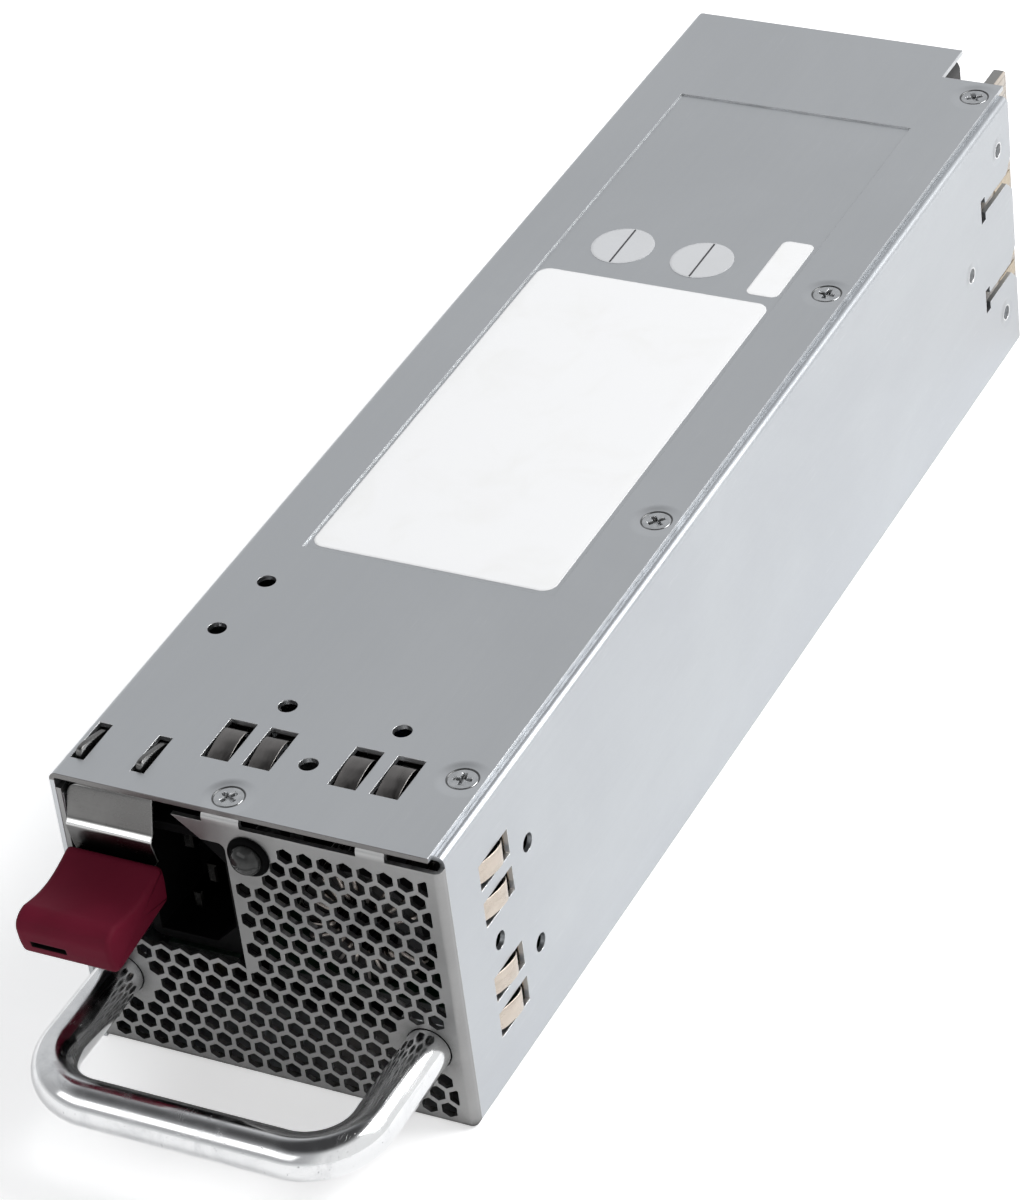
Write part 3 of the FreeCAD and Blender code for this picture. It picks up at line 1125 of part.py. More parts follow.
def make_fan():
    """Axial fan: square frame with a motor seat on struts, and a seven-bladed rotor."""
    block = new_body("FanBlock")
    square = new_sketch(block, "XZ_Plane", "FanSquare", f"-{FAN_FRONT}")
    rectangle(square, "fan_left", "sheet_steel", FAN_RIGHT, f"sheet_steel + {FAN_SIDE}")
    pad(block, square, "fan_depth", reverse=True, name="FanSquareBlock")
    fillet(block, lambda edge, p: runs_along(edge, Y_AXIS), "fan_corner", "FanCorners")
    before, through = f"{FAN_FRONT} - sheet_steel", "fan_depth + 2 * sheet_steel"
    bore = cylinder("FanBore", FAN_BORE, through, FAN_MIDDLE_X, before, FAN_MIDDLE_Z, ALONG_Y)
    holes = [cylinder(f"FanHole{i}", "fan_screw", through, x, before, z, ALONG_Y)
             for i, (x, z) in enumerate(FAN_CORNERS)]
    shell = cut("FanShell", block, bore, *holes)
    seat = cylinder("FanSeat", "stator_diameter", "stator_thick", FAN_MIDDLE_X, FAN_FRONT,
                    FAN_MIDDLE_Z, ALONG_Y)
    tube = cylinder("FanTube", "fan_bearing", "fan_depth - 2 * stator_thick", FAN_MIDDLE_X, FAN_FRONT,
                    FAN_MIDDLE_Z, ALONG_Y)
    shaft_hole = cylinder("FanShaftHole", "fan_shaft + fit_gap", through, FAN_MIDDLE_X, before,
                          FAN_MIDDLE_Z, ALONG_Y)
    struts = []
    span, reach = f"({FAN_BORE} - stator_diameter) / 2 + 2 * strut_root", "(stator_diameter / 2 - strut_root)"
    for i in range(4):
        strut = box(f"FanStrut{i}", "0", "0", "0", span, "stator_thick", "strut_width")
        angle = 45 + 90 * i
        strut.Placement = Placement(Vector(), Rotation(Y_AXIS, angle))
        across, up = round(math.cos(math.radians(angle)), 6), round(math.sin(math.radians(angle)), 6)
        bind(strut, Placement__Base__x=f"{FAN_MIDDLE_X} + {across} * {reach} - {up} * strut_width / 2",
             Placement__Base__y=FAN_FRONT,
             Placement__Base__z=f"{FAN_MIDDLE_Z} - {up} * {reach} - {across} * strut_width / 2")
        struts.append(strut)
    finish(cut("FanFrame", fuse("FanFrameBlank", shell, seat, tube, *struts), shaft_hole), "fan_frame")
    rotor = new_body("FanRotor")
    cup = new_sketch(rotor, "XY_Plane", "RotorCup")
    rear, inside = "fan_depth - rotor_inset", "fan_depth - rotor_inset - hub_length + sheet_steel"
    outline(cup, (("0", rear), ("0", f"{rear} - hub_end"),
                  ("hub_diameter / 2 - hub_wall", f"{rear} - hub_end"),
                  ("hub_diameter / 2 - hub_wall", inside), ("hub_diameter / 2", inside),
                  ("hub_diameter / 2", rear)))
    spun(rotor, cup, "RotorCupTurn")
    shaft = new_sketch(rotor, "XZ_Plane", "RotorShaft", "-2 * sheet_steel")
    circle(shaft, "0", "0", "fan_shaft")
    pad(rotor, shaft, "fan_depth - rotor_inset - 3 * sheet_steel", reverse=True, name="RotorShaftBar")
    fan_side = size("case_height") - 2 * size("sheet_steel") - size("fan_top_gap")
    sweep, lean = math.radians(size("blade_sweep") / 2), size("fan_blade") / 2
    tip = (fan_side / 2 - size("fan_rim") - size("blade_tip_gap")) * math.cos(sweep) - lean
    middle, reach = size("fan_depth") / 2 + size("hub_wall"), size("hub_length") / 2 - size("hub_wall")
    chord = tip * math.tan(sweep)
    blade = rotor.newObject("PartDesign::AdditiveLoft", "FanBlade")
    sections = []
    for number, radius in enumerate((size("hub_diameter") / 2 - size("hub_wall") / 2, tip)):
        section = new_sketch(rotor, "YZ_Plane", f"BladeSection_{number}", str(radius))
        low, high = middle + reach * radius / tip, middle - reach * radius / tip
        wide = chord * radius / tip
        set_outline(section, [Vector(low, -wide - lean, 0), Vector(high, wide - lean, 0),
                              Vector(high, wide + lean, 0), Vector(low, -wide + lean, 0)])
        sections.append(section)
    doc.recompute()
    blade.Profile = sections[0]
    blade.Sections = [sections[1]]
    blade.Ruled = True
    blade.Refine = False
    doc.recompute()
    ring = rotor.newObject("PartDesign::PolarPattern", "FanBladeRing")
    ring.Originals = [blade]
    ring.Axis = (next(item for item in rotor.Origin.OriginFeatures if item.Role == "Y_Axis"), [""])
    ring.Angle = 360
    ring.Occurrences = COUNTS["fan_blades"]
    ring.Refine = False
    rotor.Tip = ring
    doc.recompute()
    finish(rotor, "fan_rotor", x=FAN_MIDDLE_X, y="-fan_rear_gap - fan_depth", z=FAN_MIDDLE_Z, rear=True)
    plate = box("FanPlate", "sheet_steel + fit_gap", f"{FAN_FRONT} - sheet_steel", "sheet_steel",
                f"{FAN_RIGHT} - sheet_steel", "sheet_steel", FAN_SIDE)
    foot = box("FanFoot", "left_flange_height / 2", f"{FAN_FRONT} - 8 * sheet_steel", "sheet_steel",
               f"{FAN_RIGHT} - left_flange_height", "8 * sheet_steel", "sheet_steel")
    plate_front = f"{FAN_FRONT} - 2 * sheet_steel"
    air = cylinder("FanPlateBore", FAN_BORE, "3 * sheet_steel", FAN_MIDDLE_X, plate_front,
                   FAN_MIDDLE_Z, ALONG_Y)
    taps = [cylinder(f"FanTap{i}", "fan_screw - 2 * fit_gap", "3 * sheet_steel", x, plate_front, z, ALONG_Y)
            for i, (x, z) in enumerate(FAN_CORNERS)]
    relief = box("FanFlangeRelief", "0", plate_front, "0", "sheet_steel + bend_radius + fit_gap",
                 "3 * sheet_steel", "left_flange_height + sheet_steel")
    finish(cut("FanBracket", fuse("FanBracketBlank", plate, foot), air, relief, *taps), "fan_bracket")
    screws = []
    for i, (x, z) in enumerate(FAN_CORNERS):
        shank = cylinder(f"FanShank{i}", "fan_screw - 3 * fit_gap", through, x, plate_front, z, ALONG_Y)
        head = cylinder(f"FanScrewHead{i}", "1.9 * fan_screw", "fan_screw / 2", x, FAN_REAR, z, ALONG_Y)
        screws.append(fuse(f"FanScrew{i}", shank, head))
    finish(group("FanScrews", screws), "fan_screws")


# Rear wall and output board

def make_rear():
    """The recessed rear wall beside the fan, with the output board through its slot."""
    body = new_body("RearWall")
    wall = new_sketch(body, "XY_Plane", "RearWallProfile", "sheet_steel / 2 + bend_radius")
    near_face = f"{WALL_END} - sheet_steel"
    leg_face, leg_end = f"{INNER_RIGHT} - sheet_steel", f"{WALL_END} - bracket_screw_far - bracket_margin"
    outline(wall, ((NOTCH_LEFT, near_face), (leg_face, near_face), (leg_face, leg_end),
                   (INNER_RIGHT, leg_end), (INNER_RIGHT, WALL_END), (NOTCH_LEFT, WALL_END)))
    pad(body, wall, f"{LID_UNDER} - sheet_steel - 2 * bend_radius", name="RearWallBend")
    slot = new_sketch(body, "XZ_Plane", "OutputSlot", f"-({WALL_END} + sheet_steel)")
    rectangle(slot, f"{EDGE_BOARD_X} - edge_board_thick / 2 - bracket_gap", f"{BOARD_TOP} - bracket_gap",
              f"{EDGE_BOARD_X} + edge_board_thick / 2 + bracket_gap",
              "case_height - edge_board_top_gap + bracket_gap")
    pocket(body, slot, "4 * sheet_steel", reverse=True, name="OutputSlotCut")
    cuts = new_sketch(body, "YZ_Plane", "BracketCuts", INNER_RIGHT)
    for inset, height in BRACKET_SCREWS:
        circle(cuts, f"{WALL_END} - {inset}", height, "screw_shank - fit_gap")
    for height in ("bay_slot_upper", "bay_slot_lower"):
        rectangle(cuts, f"{WALL_END} - bay_slot_reach - 2 * sheet_steel", f"{height} - bay_slot_end",
                  f"{WALL_END} + sheet_steel", f"{height} + bay_slot_end")
    pocket(body, cuts, "3 * sheet_steel", name="BracketCut")
    finish(body, "rear_wall")
    board = new_body("OutputBoard")
    top = "case_height - edge_board_top_gap"
    end = "case_length - edge_board_back_gap"
    shape = new_sketch(board, "YZ_Plane", "OutputBoardShape", f"{EDGE_BOARD_X} - edge_board_thick / 2")
    front = f"{end} - edge_board_length"
    outline(shape, ((front, BOARD_TOP), (f"{end} - edge_chamfer", BOARD_TOP),
                    (end, f"{BOARD_TOP} + edge_chamfer"), (end, f"{top} - edge_chamfer"),
                    (f"{end} - edge_chamfer", top), (front, top)))
    pad(board, shape, "edge_board_thick", name="OutputBoardSheet")
    finish(board, "output_board")
    contacts, start = [], f"{end} - edge_contact_length - edge_contact_inset"
    for i in range(COUNTS["edge_contacts"]):
        low = f"{BOARD_TOP} + edge_chamfer + edge_contact_margin + {i} * edge_contact_pitch"
        for side, x in enumerate((f"{EDGE_BOARD_X} - edge_board_thick / 2 - edge_contact_thick",
                                  f"{EDGE_BOARD_X} + edge_board_thick / 2")):
            contacts.append(box(f"EdgeContact{i}_{side}", x, start, low, "edge_contact_thick",
                                "edge_contact_length", "edge_contact_height"))
    finish(group("EdgeContacts", contacts), "edge_contacts")


# Inside the case

BOARD_LEFT = "(2 * sheet_steel + board_side_gap)"
BOARD_RIGHT = "(case_width - 2 * sheet_steel - board_side_gap)"
BOARD_REAR = f"({FAN_FRONT} - 8 * sheet_steel - board_rear_gap)"
STANDOFFS = [(x, y) for x in (f"{BOARD_LEFT} + standoff_inset", f"{BOARD_RIGHT} - standoff_inset")
             for y in ("board_front + standoff_inset", f"{BOARD_REAR} - standoff_inset")]


def make_board():
    """Main board on screwed standoffs, over an insulating film on the floor."""
    plate = box("BoardPlate", BOARD_LEFT, "board_front", "sheet_steel + board_lift",
                f"{BOARD_RIGHT} - {BOARD_LEFT}", f"{BOARD_REAR} - board_front", "board_thick")
    holes = [cylinder(f"BoardHole{i}", "screw_shank + fit_gap", "3 * board_thick", x, y,
                      "sheet_steel + board_lift - board_thick") for i, (x, y) in enumerate(STANDOFFS)]
    finish(cut("MainBoard", plate, *holes), "main_board")
    film = box("FilmSheet", f"{BOARD_LEFT} + 2 * standoff_inset", "board_front", "sheet_steel",
               f"{BOARD_RIGHT} - {BOARD_LEFT} - 4 * standoff_inset", f"{BOARD_REAR} - board_front",
               "film_thick")
    finish(group("InsulatingFilm", [film]), "insulating_film")
    posts, screws = [], []
    for i, (x, y) in enumerate(STANDOFFS):
        post = doc.addObject("Part::Prism", f"Post{i}")
        bind(post, Circumradius="standoff_diameter / 2", Height="board_lift", Placement__Base__x=x,
             Placement__Base__y=y, Placement__Base__z="sheet_steel")
        tap = cylinder(f"PostTap{i}", "screw_shank", "board_lift", x, y, "sheet_steel + board_lift / 3")
        posts.append(cut(f"Standoff{i}", post, tap))
        shank = cylinder(f"BoardShank{i}", "screw_shank - fit_gap", "board_lift / 2 + board_thick", x, y,
                         "sheet_steel + board_lift / 2")
        head = doc.addObject("Part::Prism", f"BoardHead{i}")
        bind(head, Circumradius="board_screw_head / 2", Height="board_screw_head / 3", Placement__Base__x=x,
             Placement__Base__y=y, Placement__Base__z=BOARD_TOP)
        screws.append(fuse(f"BoardScrew{i}", shank, head))
    finish(group("Standoffs", posts), "board_standoffs")
    finish(group("BoardScrews", screws), "board_screws")


def wound_turns(name, outside, inside, length, wire, count, gap):
    """Flat loops of wire round a ring core whose axis is the local Y axis."""
    lead_in, wound = 25.0, 310.0
    radius_in, radius_out = inside / 2 - gap, outside / 2 + gap
    long_side = length + 2 * gap
    loops = []
    for i in range(count):
        loop = Part.makeBox(radius_out - radius_in + 2 * wire, long_side + 2 * wire, wire,
                            Vector(radius_in - wire, -long_side / 2 - wire, -wire / 2))
        hole = Part.makeBox(radius_out - radius_in, long_side, 3 * wire,
                            Vector(radius_in, -long_side / 2, -1.5 * wire))
        turn = loop.cut(hole)
        turn.rotate(Vector(), Y_AXIS, lead_in + wound * i / (count - 1))
        loops.append(turn)
    item = doc.addObject("Part::Feature", name)
    item.Shape = Part.makeCompound(loops)
    return item


def make_chokes():
    """Two toroid chokes: the line choke behind the grille and the boost choke."""
    lift = f"{BOARD_TOP} + choke_outside / 2 + wire + 2 * fit_gap"
    core = cylinder("ChokeOutside", "choke_outside", "choke_length", "0", "-choke_length / 2", "0", ALONG_Y)
    middle = cylinder("ChokeInside", "choke_inside", "2 * choke_length", "0", "-choke_length", "0", ALONG_Y)
    finish(cut("ChokeCore", core, middle), "choke_core", x="choke_x", y="choke_y", z=lift)
    turns = wound_turns("ChokeWinding", size("choke_outside"), size("choke_inside"), size("choke_length"),
                        size("wire"), COUNTS["choke_turns"], size("fit_gap"))
    finish(turns, "choke_winding", x="choke_x", y="choke_y", z=lift)
    ring = cylinder("BoostOutside", "boost_diameter", "choke_length * 1.4", "0", "0", "0")
    hole = cylinder("BoostInside", "choke_inside", "choke_length * 3", "0", "0", "-choke_length / 2")
    finish(cut("BoostChoke", ring, hole), "boost_choke", x=f"{BOARD_RIGHT} - boost_diameter / 2 - part_gap",
           y="boost_front + boost_diameter / 2", z=BOARD_TOP)


def finned_sink(name, label, length, x, y):
    """Extruded heat sink on edge: an upright web whose fins face the left side."""
    body = new_body(name)
    web = new_sketch(body, "XZ_Plane", f"{name}Web")
    rectangle(web, "0", "0", "-sink_base", "sink_height")
    pad(body, web, length, reverse=True, name=f"{name}Plate")
    fin = new_sketch(body, "XZ_Plane", f"{name}Fin")
    rectangle(fin, "-sink_base / 2", "sink_fin_thick", "-sink_base - sink_fin", "2 * sink_fin_thick")
    first = pad(body, fin, length, reverse=True, name=f"{name}FirstFin")
    rows = body.newObject("PartDesign::LinearPattern", f"{name}Fins")
    rows.Originals = [first]
    rows.Direction = (next(item for item in body.Origin.OriginFeatures if item.Role == "Z_Axis"), [""])
    count = int((size("sink_height") - 3 * size("sink_fin_thick")) / size("sink_fin_pitch")) + 1
    rows.Occurrences = count
    rows.Refine = False
    bind(rows, Length=f"{count - 1} * sink_fin_pitch")
    body.Tip = rows
    doc.recompute()
    finish(body, label, x=x, y=y, z=BOARD_TOP)


def make_power_parts():
    """Heat sinks, transistors, capacitors, transformer and filter capacitors."""
    sink_x = f"{BOARD_LEFT} + sink_fin + part_gap + sink_base"
    secondary_front = f"{BOARD_REAR} - secondary_sink_rear - secondary_sink_length"
    finned_sink("PrimarySink", "primary_heat_sink", "primary_sink_length", sink_x, "primary_sink_front")
    finned_sink("SecondarySink", "secondary_heat_sink", "secondary_sink_length", sink_x, secondary_front)
    packages = []
    for number, (front, count) in enumerate((("primary_sink_front", 3), (secondary_front, 2))):
        for i in range(count):
            along = f"{front} + transistor_gap / 2 + {i} * (transistor_width + transistor_gap)"
            block = box(f"Transistor{number}_{i}", sink_x, along, f"{BOARD_TOP} + transistor_lift",
                        "transistor_thick", "transistor_width", "transistor_height")
            lead = box(f"TransistorLead{number}_{i}", f"{sink_x} + transistor_thick / 3",
                       f"{along} + transistor_width / 4", BOARD_TOP, "transistor_thick / 4",
                       "transistor_width / 2", "transistor_lift + transistor_thick / 4")
            packages.append(fuse(f"Package{number}_{i}", block, lead))
    finish(group("Transistors", packages), "power_transistors")
    bulk = new_body("BulkCapacitor")
    can = new_sketch(bulk, "XY_Plane", "BulkProfile")
    outline(can, (("0", "0"), ("bulk_diameter / 2", "0"), ("bulk_diameter / 2", "bulk_length - sheet_steel"),
                  ("bulk_diameter / 2 - sheet_steel", "bulk_length"), ("0", "bulk_length")))
    spun(bulk, can, "BulkTurn")
    finish(bulk, "bulk_capacitor", x=f"{sink_x} + transistor_thick + part_gap / 2 + bulk_diameter / 2",
           y="bulk_front", z=f"{BOARD_TOP} + bulk_diameter / 2")
    boxes = []
    for i in range(2):
        boxes.append(box(f"FilmCapacitor{i}", "choke_x - film_capacitor_length / 2",
                         f"film_capacitor_front + {i} * (film_capacitor_width + filter_gap)", BOARD_TOP,
                         "film_capacitor_length", "film_capacitor_width", "film_capacitor_height"))
    finish(group("FilterCapacitors", boxes), "filter_capacitors")
    rectifier = box("Rectifier", "choke_x - film_capacitor_length / 2 - filter_gap", "film_capacitor_front",
                    BOARD_TOP, "transistor_thick", "rectifier_width", "rectifier_height")
    finish(group("BridgeRectifier", [rectifier]), "bridge_rectifier")
    core_x = "transformer_x - transformer_width / 2"
    core_y = f"({BOARD_REAR} - transformer_rear - transformer_length)"
    core = box("TransformerCoreBlock", core_x, core_y, BOARD_TOP, "transformer_width", "transformer_length",
               "transformer_height")
    through, below = "transformer_height + 2 * board_thick", f"{BOARD_TOP} - board_thick"
    wide, long = "transformer_width / 2 - 2 * transformer_limb", "transformer_length - 2 * transformer_yoke"
    windows = [box(f"TransformerWindow{i}", f"{start} + transformer_limb", f"{core_y} + transformer_yoke",
                   below, wide, long, through) for i, start in enumerate((core_x, "transformer_x"))]
    finish(cut("TransformerCore", core, *windows), "transformer_core")
    coil = box("TransformerCoilBlock", f"{core_x} + transformer_limb + fit_gap",
               f"{core_y} + transformer_yoke + fit_gap", BOARD_TOP,
               "transformer_width - 2 * transformer_limb - 2 * fit_gap",
               "transformer_length - 2 * transformer_yoke - 2 * fit_gap",
               "transformer_height - sheet_steel")
    leg = box("TransformerLeg", "transformer_x - transformer_limb - fit_gap", core_y, below,
              "2 * transformer_limb + 2 * fit_gap", "transformer_length", through)
    finish(cut("TransformerCoil", coil, leg), "transformer_winding")
    cans = []
    first = f"{core_y} + transformer_length + output_gap + output_diameter / 2"
    for i in range(COUNTS["output_capacitors"]):
        cans.append(cylinder(f"OutputCan{i}", "output_diameter", "output_height", "transformer_x",
                             f"{first} + {i} * (output_diameter + part_gap)", BOARD_TOP))
    finish(group("OutputCapacitors", cans), "output_capacitors")


make_tray()
make_lid()
make_front_grille()
make_inlet()
make_lamp()
make_handle()
make_latch()
make_contacts()
make_case_screws()
make_fan()
make_rear()
make_board()
make_chokes()
make_power_parts()

# Checks and export

def check_and_write():
    doc.recompute()
    for item in doc.Objects:
        if "Invalid" in item.State or "Error" in item.State:
            raise RuntimeError(f"{item.Name} ({item.Label}) failed: {item.State}")
    for item in FINISHED:
        if item.Shape.isNull() or not item.Shape.isValid():
            raise RuntimeError(f"{item.Label} has no valid shape")
    for item in FINISHED:
        item.Shape.exportStep(f"parts/{item.Label}.step")
        print(item.Label, len(item.Shape.Solids), round(item.Shape.Volume, 2))


check_and_write()
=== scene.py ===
import bmesh
import bpy
import math
import numpy as np
from mathutils import Matrix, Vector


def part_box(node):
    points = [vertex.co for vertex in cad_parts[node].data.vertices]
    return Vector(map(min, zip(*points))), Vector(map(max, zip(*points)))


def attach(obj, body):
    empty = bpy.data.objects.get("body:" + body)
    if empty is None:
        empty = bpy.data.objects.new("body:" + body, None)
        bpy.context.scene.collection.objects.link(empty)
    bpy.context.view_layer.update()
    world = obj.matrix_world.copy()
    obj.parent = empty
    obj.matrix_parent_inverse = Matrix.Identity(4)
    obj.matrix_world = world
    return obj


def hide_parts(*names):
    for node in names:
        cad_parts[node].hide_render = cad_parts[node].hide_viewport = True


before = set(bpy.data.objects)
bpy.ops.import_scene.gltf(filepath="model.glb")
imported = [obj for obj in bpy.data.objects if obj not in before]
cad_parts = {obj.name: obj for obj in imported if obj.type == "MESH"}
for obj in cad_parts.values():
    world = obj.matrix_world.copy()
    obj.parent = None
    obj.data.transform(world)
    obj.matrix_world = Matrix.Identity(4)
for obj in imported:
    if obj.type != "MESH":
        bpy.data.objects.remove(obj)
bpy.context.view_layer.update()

# Case sheet
# The tray, lid, front panel and rear wall are folded from 1 mm zinc-plated steel.
# Its look is a satin grey with faint rolling streaks, soft clouds where it was
# handled, fine hairlines, and edges that the press left brighter.


def give(socket, value):
    """Sets an input, or links it where the value is another node's output."""
    if isinstance(value, bpy.types.NodeSocket):
        socket.id_data.links.new(value, socket)
    else:
        socket.default_value = value


def feed(node, **inputs):
    """Gives a node's inputs, by name, their values or links."""
    for name, value in inputs.items():
        give(node.inputs[name.replace("_", " ")], value)


def place(tree, kind, settings=None, **inputs):
    """Adds a shader node, sets its properties and feeds it."""
    node = tree.nodes.new("ShaderNode" + kind)
    for name, value in (settings or {}).items():
        setattr(node, name, value)
    feed(node, **inputs)
    return node


def sums(tree, operation, first, second=0.5, third=0.5):
    """One step of arithmetic on values or links."""
    node = place(tree, "Math", {"operation": operation})
    for socket, value in zip(node.inputs, (first, second, third)):
        give(socket, value)
    return node.outputs[0]


def span(tree, value, low, high, start=0.0, end=1.0):
    """Carries a value from low..high to start..end, held at both ends, with soft turns."""
    return place(tree, "MapRange", {"interpolation_type": "SMOOTHSTEP"}, Value=value, From_Min=low,
                 From_Max=high, To_Min=start, To_Max=end).outputs["Result"]


def blended(tree, share, first, second):
    """Two colours, each a link or three values, mixed by a share that changes over
    the surface."""
    node = place(tree, "Mix", {"data_type": "RGBA"})
    give(node.inputs[0], share)
    for socket, colour in zip(node.inputs[6:8], (first, second)):
        give(socket, colour if isinstance(colour, bpy.types.NodeSocket) else (*colour, 1.0))
    return node.outputs[2]


def bumped(tree, height, strength, depth, **normal):
    """A normal that follows a height over the surface."""
    return place(tree, "Bump", Strength=strength, Distance=depth, Height=height, **normal).outputs["Normal"]


def new_group(name, inputs, outputs):
    """An empty shader node group with named numbers as inputs and named outputs."""
    tree = bpy.data.node_groups.new(name, "ShaderNodeTree")
    for label, value in inputs.items():
        socket = tree.interface.new_socket(name=label, in_out="INPUT", socket_type="NodeSocketFloat")
        socket.default_value = value
    for label, kind in outputs.items():
        tree.interface.new_socket(name=label, in_out="OUTPUT", socket_type="NodeSocket" + kind)
    return tree, tree.nodes.new("NodeGroupInput").outputs, tree.nodes.new("NodeGroupOutput").inputs


def stretched(tree, scale=(1, 1, 1), turn=(0.0, 0.0, 0.0)):
    """Object coordinates, turned and scaled."""
    where = place(tree, "TexCoord").outputs["Object"]
    return place(tree, "Mapping", Vector=where, Rotation=turn, Scale=scale).outputs["Vector"]


def coordinates(tree):
    """Object coordinates as X, Y and Z."""
    return place(tree, "SeparateXYZ", Vector=place(tree, "TexCoord").outputs["Object"]).outputs


def noise(tree, where, scale, detail=3.0, rough=0.5, twist=0.0):
    """Fractal noise about one half."""
    return place(tree, "TexNoise", Vector=where, Scale=scale, Detail=detail, Roughness=rough,
                 Distortion=twist).outputs["Fac"]


# Worn edges: the angle between the true normal and a rounded one, broken up by noise.
worn, worn_in, worn_out = new_group("worn_edges", {"Width": 0.0005, "Breakup": 500.0},
                                    {"Mask": "Float", "Normal": "Vector"})
rounded = place(worn, "Bevel", {"samples": 4}, Radius=worn_in["Width"]).outputs["Normal"]
agree = place(worn, "VectorMath", {"operation": "DOT_PRODUCT"})
give(agree.inputs[0], rounded)
give(agree.inputs[1], place(worn, "NewGeometry").outputs["True Normal"])
edge = span(worn, agree.outputs["Value"], 0.995, 0.82)
chips = span(worn, noise(worn, stretched(worn), worn_in["Breakup"], 4.0, 0.65), 0.36, 0.62, 0.25, 1.0)
give(worn_out["Mask"], sums(worn, "MULTIPLY", edge, chips))
give(worn_out["Normal"], rounded)

# Rolled sheet: clouds of handling, streaks along the case, and a fine satin tooth.
rolled, rolled_in, rolled_out = new_group("rolled_sheet", {"Clouds": 22.0, "Streaks": 0.1},
                                          {"Shade": "Float", "Gloss": "Float", "Height": "Float"})
cloud = noise(rolled, stretched(rolled, (1, 0.6, 1)), rolled_in["Clouds"], 5.0, 0.6, 0.6)
streak = noise(rolled, stretched(rolled, (900, 14, 900)), 1.0, 2.0)
tooth = noise(rolled, stretched(rolled, (2600, 700, 2600)), 1.0, 2.0, 0.6)
uneven = sums(rolled, "SUBTRACT", streak, 0.5)
give(rolled_out["Shade"], sums(rolled, "MULTIPLY_ADD", uneven, rolled_in["Streaks"], cloud))
give(rolled_out["Gloss"], span(rolled, sums(rolled, "MULTIPLY_ADD", tooth, 0.35, cloud), 0.35, 1.0))
give(rolled_out["Height"], sums(rolled, "MULTIPLY_ADD", streak, 0.45, tooth))

# Hairlines: two families of long thin lines, kept only where a patch mask allows.
hair, hair_in, hair_out = new_group("hairlines", {"Scale": 1.0, "Amount": 0.5}, {"Mask": "Float"})
families = []
for turn, stretch in (((0.3, 0.2, 0.55), (1500, 24, 1500)), ((-0.4, 0.5, -1.05), (1300, 18, 1300))):
    fine = noise(hair, stretched(hair, stretch, turn), hair_in["Scale"], 1.0, 0.4)
    line = span(hair, sums(hair, "ABSOLUTE", sums(hair, "SUBTRACT", fine, 0.5)), 0.012, 0.0)
    patch = span(hair, noise(hair, stretched(hair, turn=turn), 90.0, 2.0), 0.56, 0.68)
    families.append(sums(hair, "MULTIPLY", line, patch))
lines = sums(hair, "MAXIMUM", *families)
give(hair_out["Mask"], sums(hair, "MULTIPLY", lines, hair_in["Amount"]))

# Settled dirt and painted shade: an ambient-occlusion mask, broken into patches, that darkens corners,
# recesses and seams; it stands for dirt there and for the shade that falls there.
dirt_and_shade, dirt_and_shade_in, dirt_and_shade_out = new_group("settled_dirt_and_shade", {"Reach": 0.002}, {"Mask": "Float"})
open_sky = place(dirt_and_shade, "AmbientOcclusion", {"samples": 4}, Distance=dirt_and_shade_in["Reach"]).outputs["AO"]
patchy = span(dirt_and_shade, noise(dirt_and_shade, stretched(dirt_and_shade), 260.0, 4.0, 0.6), 0.3, 0.65, 0.4, 1.0)
give(dirt_and_shade_out["Mask"], sums(dirt_and_shade, "MULTIPLY", span(dirt_and_shade, open_sky, 0.9, 0.35), patchy))


def group_node(tree, group, **inputs):
    """Places a node group in a material with its own values."""
    return place(tree, "Group", {"node_tree": group}, **inputs).outputs


def new_finish(name, **sockets):
    """A material with one Principled shader whose even values sit on its own sockets."""
    material = bpy.data.materials.new(name)
    material.use_nodes = True
    shader = material.node_tree.nodes["Principled BSDF"]
    feed(shader, **sockets)
    return material, material.node_tree, shader


def plated_sheet(name, dark, light, edge_colour, rough, clouds, width, dirt_and_shade_share, reach):
    """Zinc-plated sheet: cloudy satin metal, brighter at its edges, darkened in its corners by dirt and
    painted shade.
    """
    material, tree, shader = new_finish(name, Metallic=1.0)
    sheet = group_node(tree, rolled, Clouds=clouds)
    marks = group_node(tree, hair, Amount=0.12)["Mask"]
    edges = group_node(tree, worn, Width=width, Breakup=420.0)
    corners = group_node(tree, dirt_and_shade, Reach=reach)["Mask"]
    colour = blended(tree, span(tree, sheet["Shade"], 0.3, 0.75), dark, light)
    # Corners, recesses and seams go near-black by the occlusion mask: dirt and painted shade.
    colour = blended(tree, sums(tree, "MULTIPLY", corners, dirt_and_shade_share), colour, (0.035, 0.034, 0.032))
    colour = blended(tree, sums(tree, "MAXIMUM", edges["Mask"], marks), colour, edge_colour)
    gloss = span(tree, sheet["Gloss"], 0.0, 1.0, rough - 0.03, rough + 0.05)
    gloss = sums(tree, "MULTIPLY_ADD", edges["Mask"], -0.12, gloss)
    feed(shader, Base_Color=colour, Roughness=sums(tree, "MULTIPLY_ADD", corners, 0.2, gloss),
         Normal=bumped(tree, sheet["Height"], 0.06, 0.00002, Normal=edges["Normal"]))
    return material


def laid_over(material, share, colour):
    """Lays one more colour over what feeds a material's Base Color."""
    tree = material.node_tree
    shader = tree.nodes["Principled BSDF"]
    base = shader.inputs["Base Color"].links[0].from_socket
    feed(shader, Base_Color=blended(tree, share, base, colour))


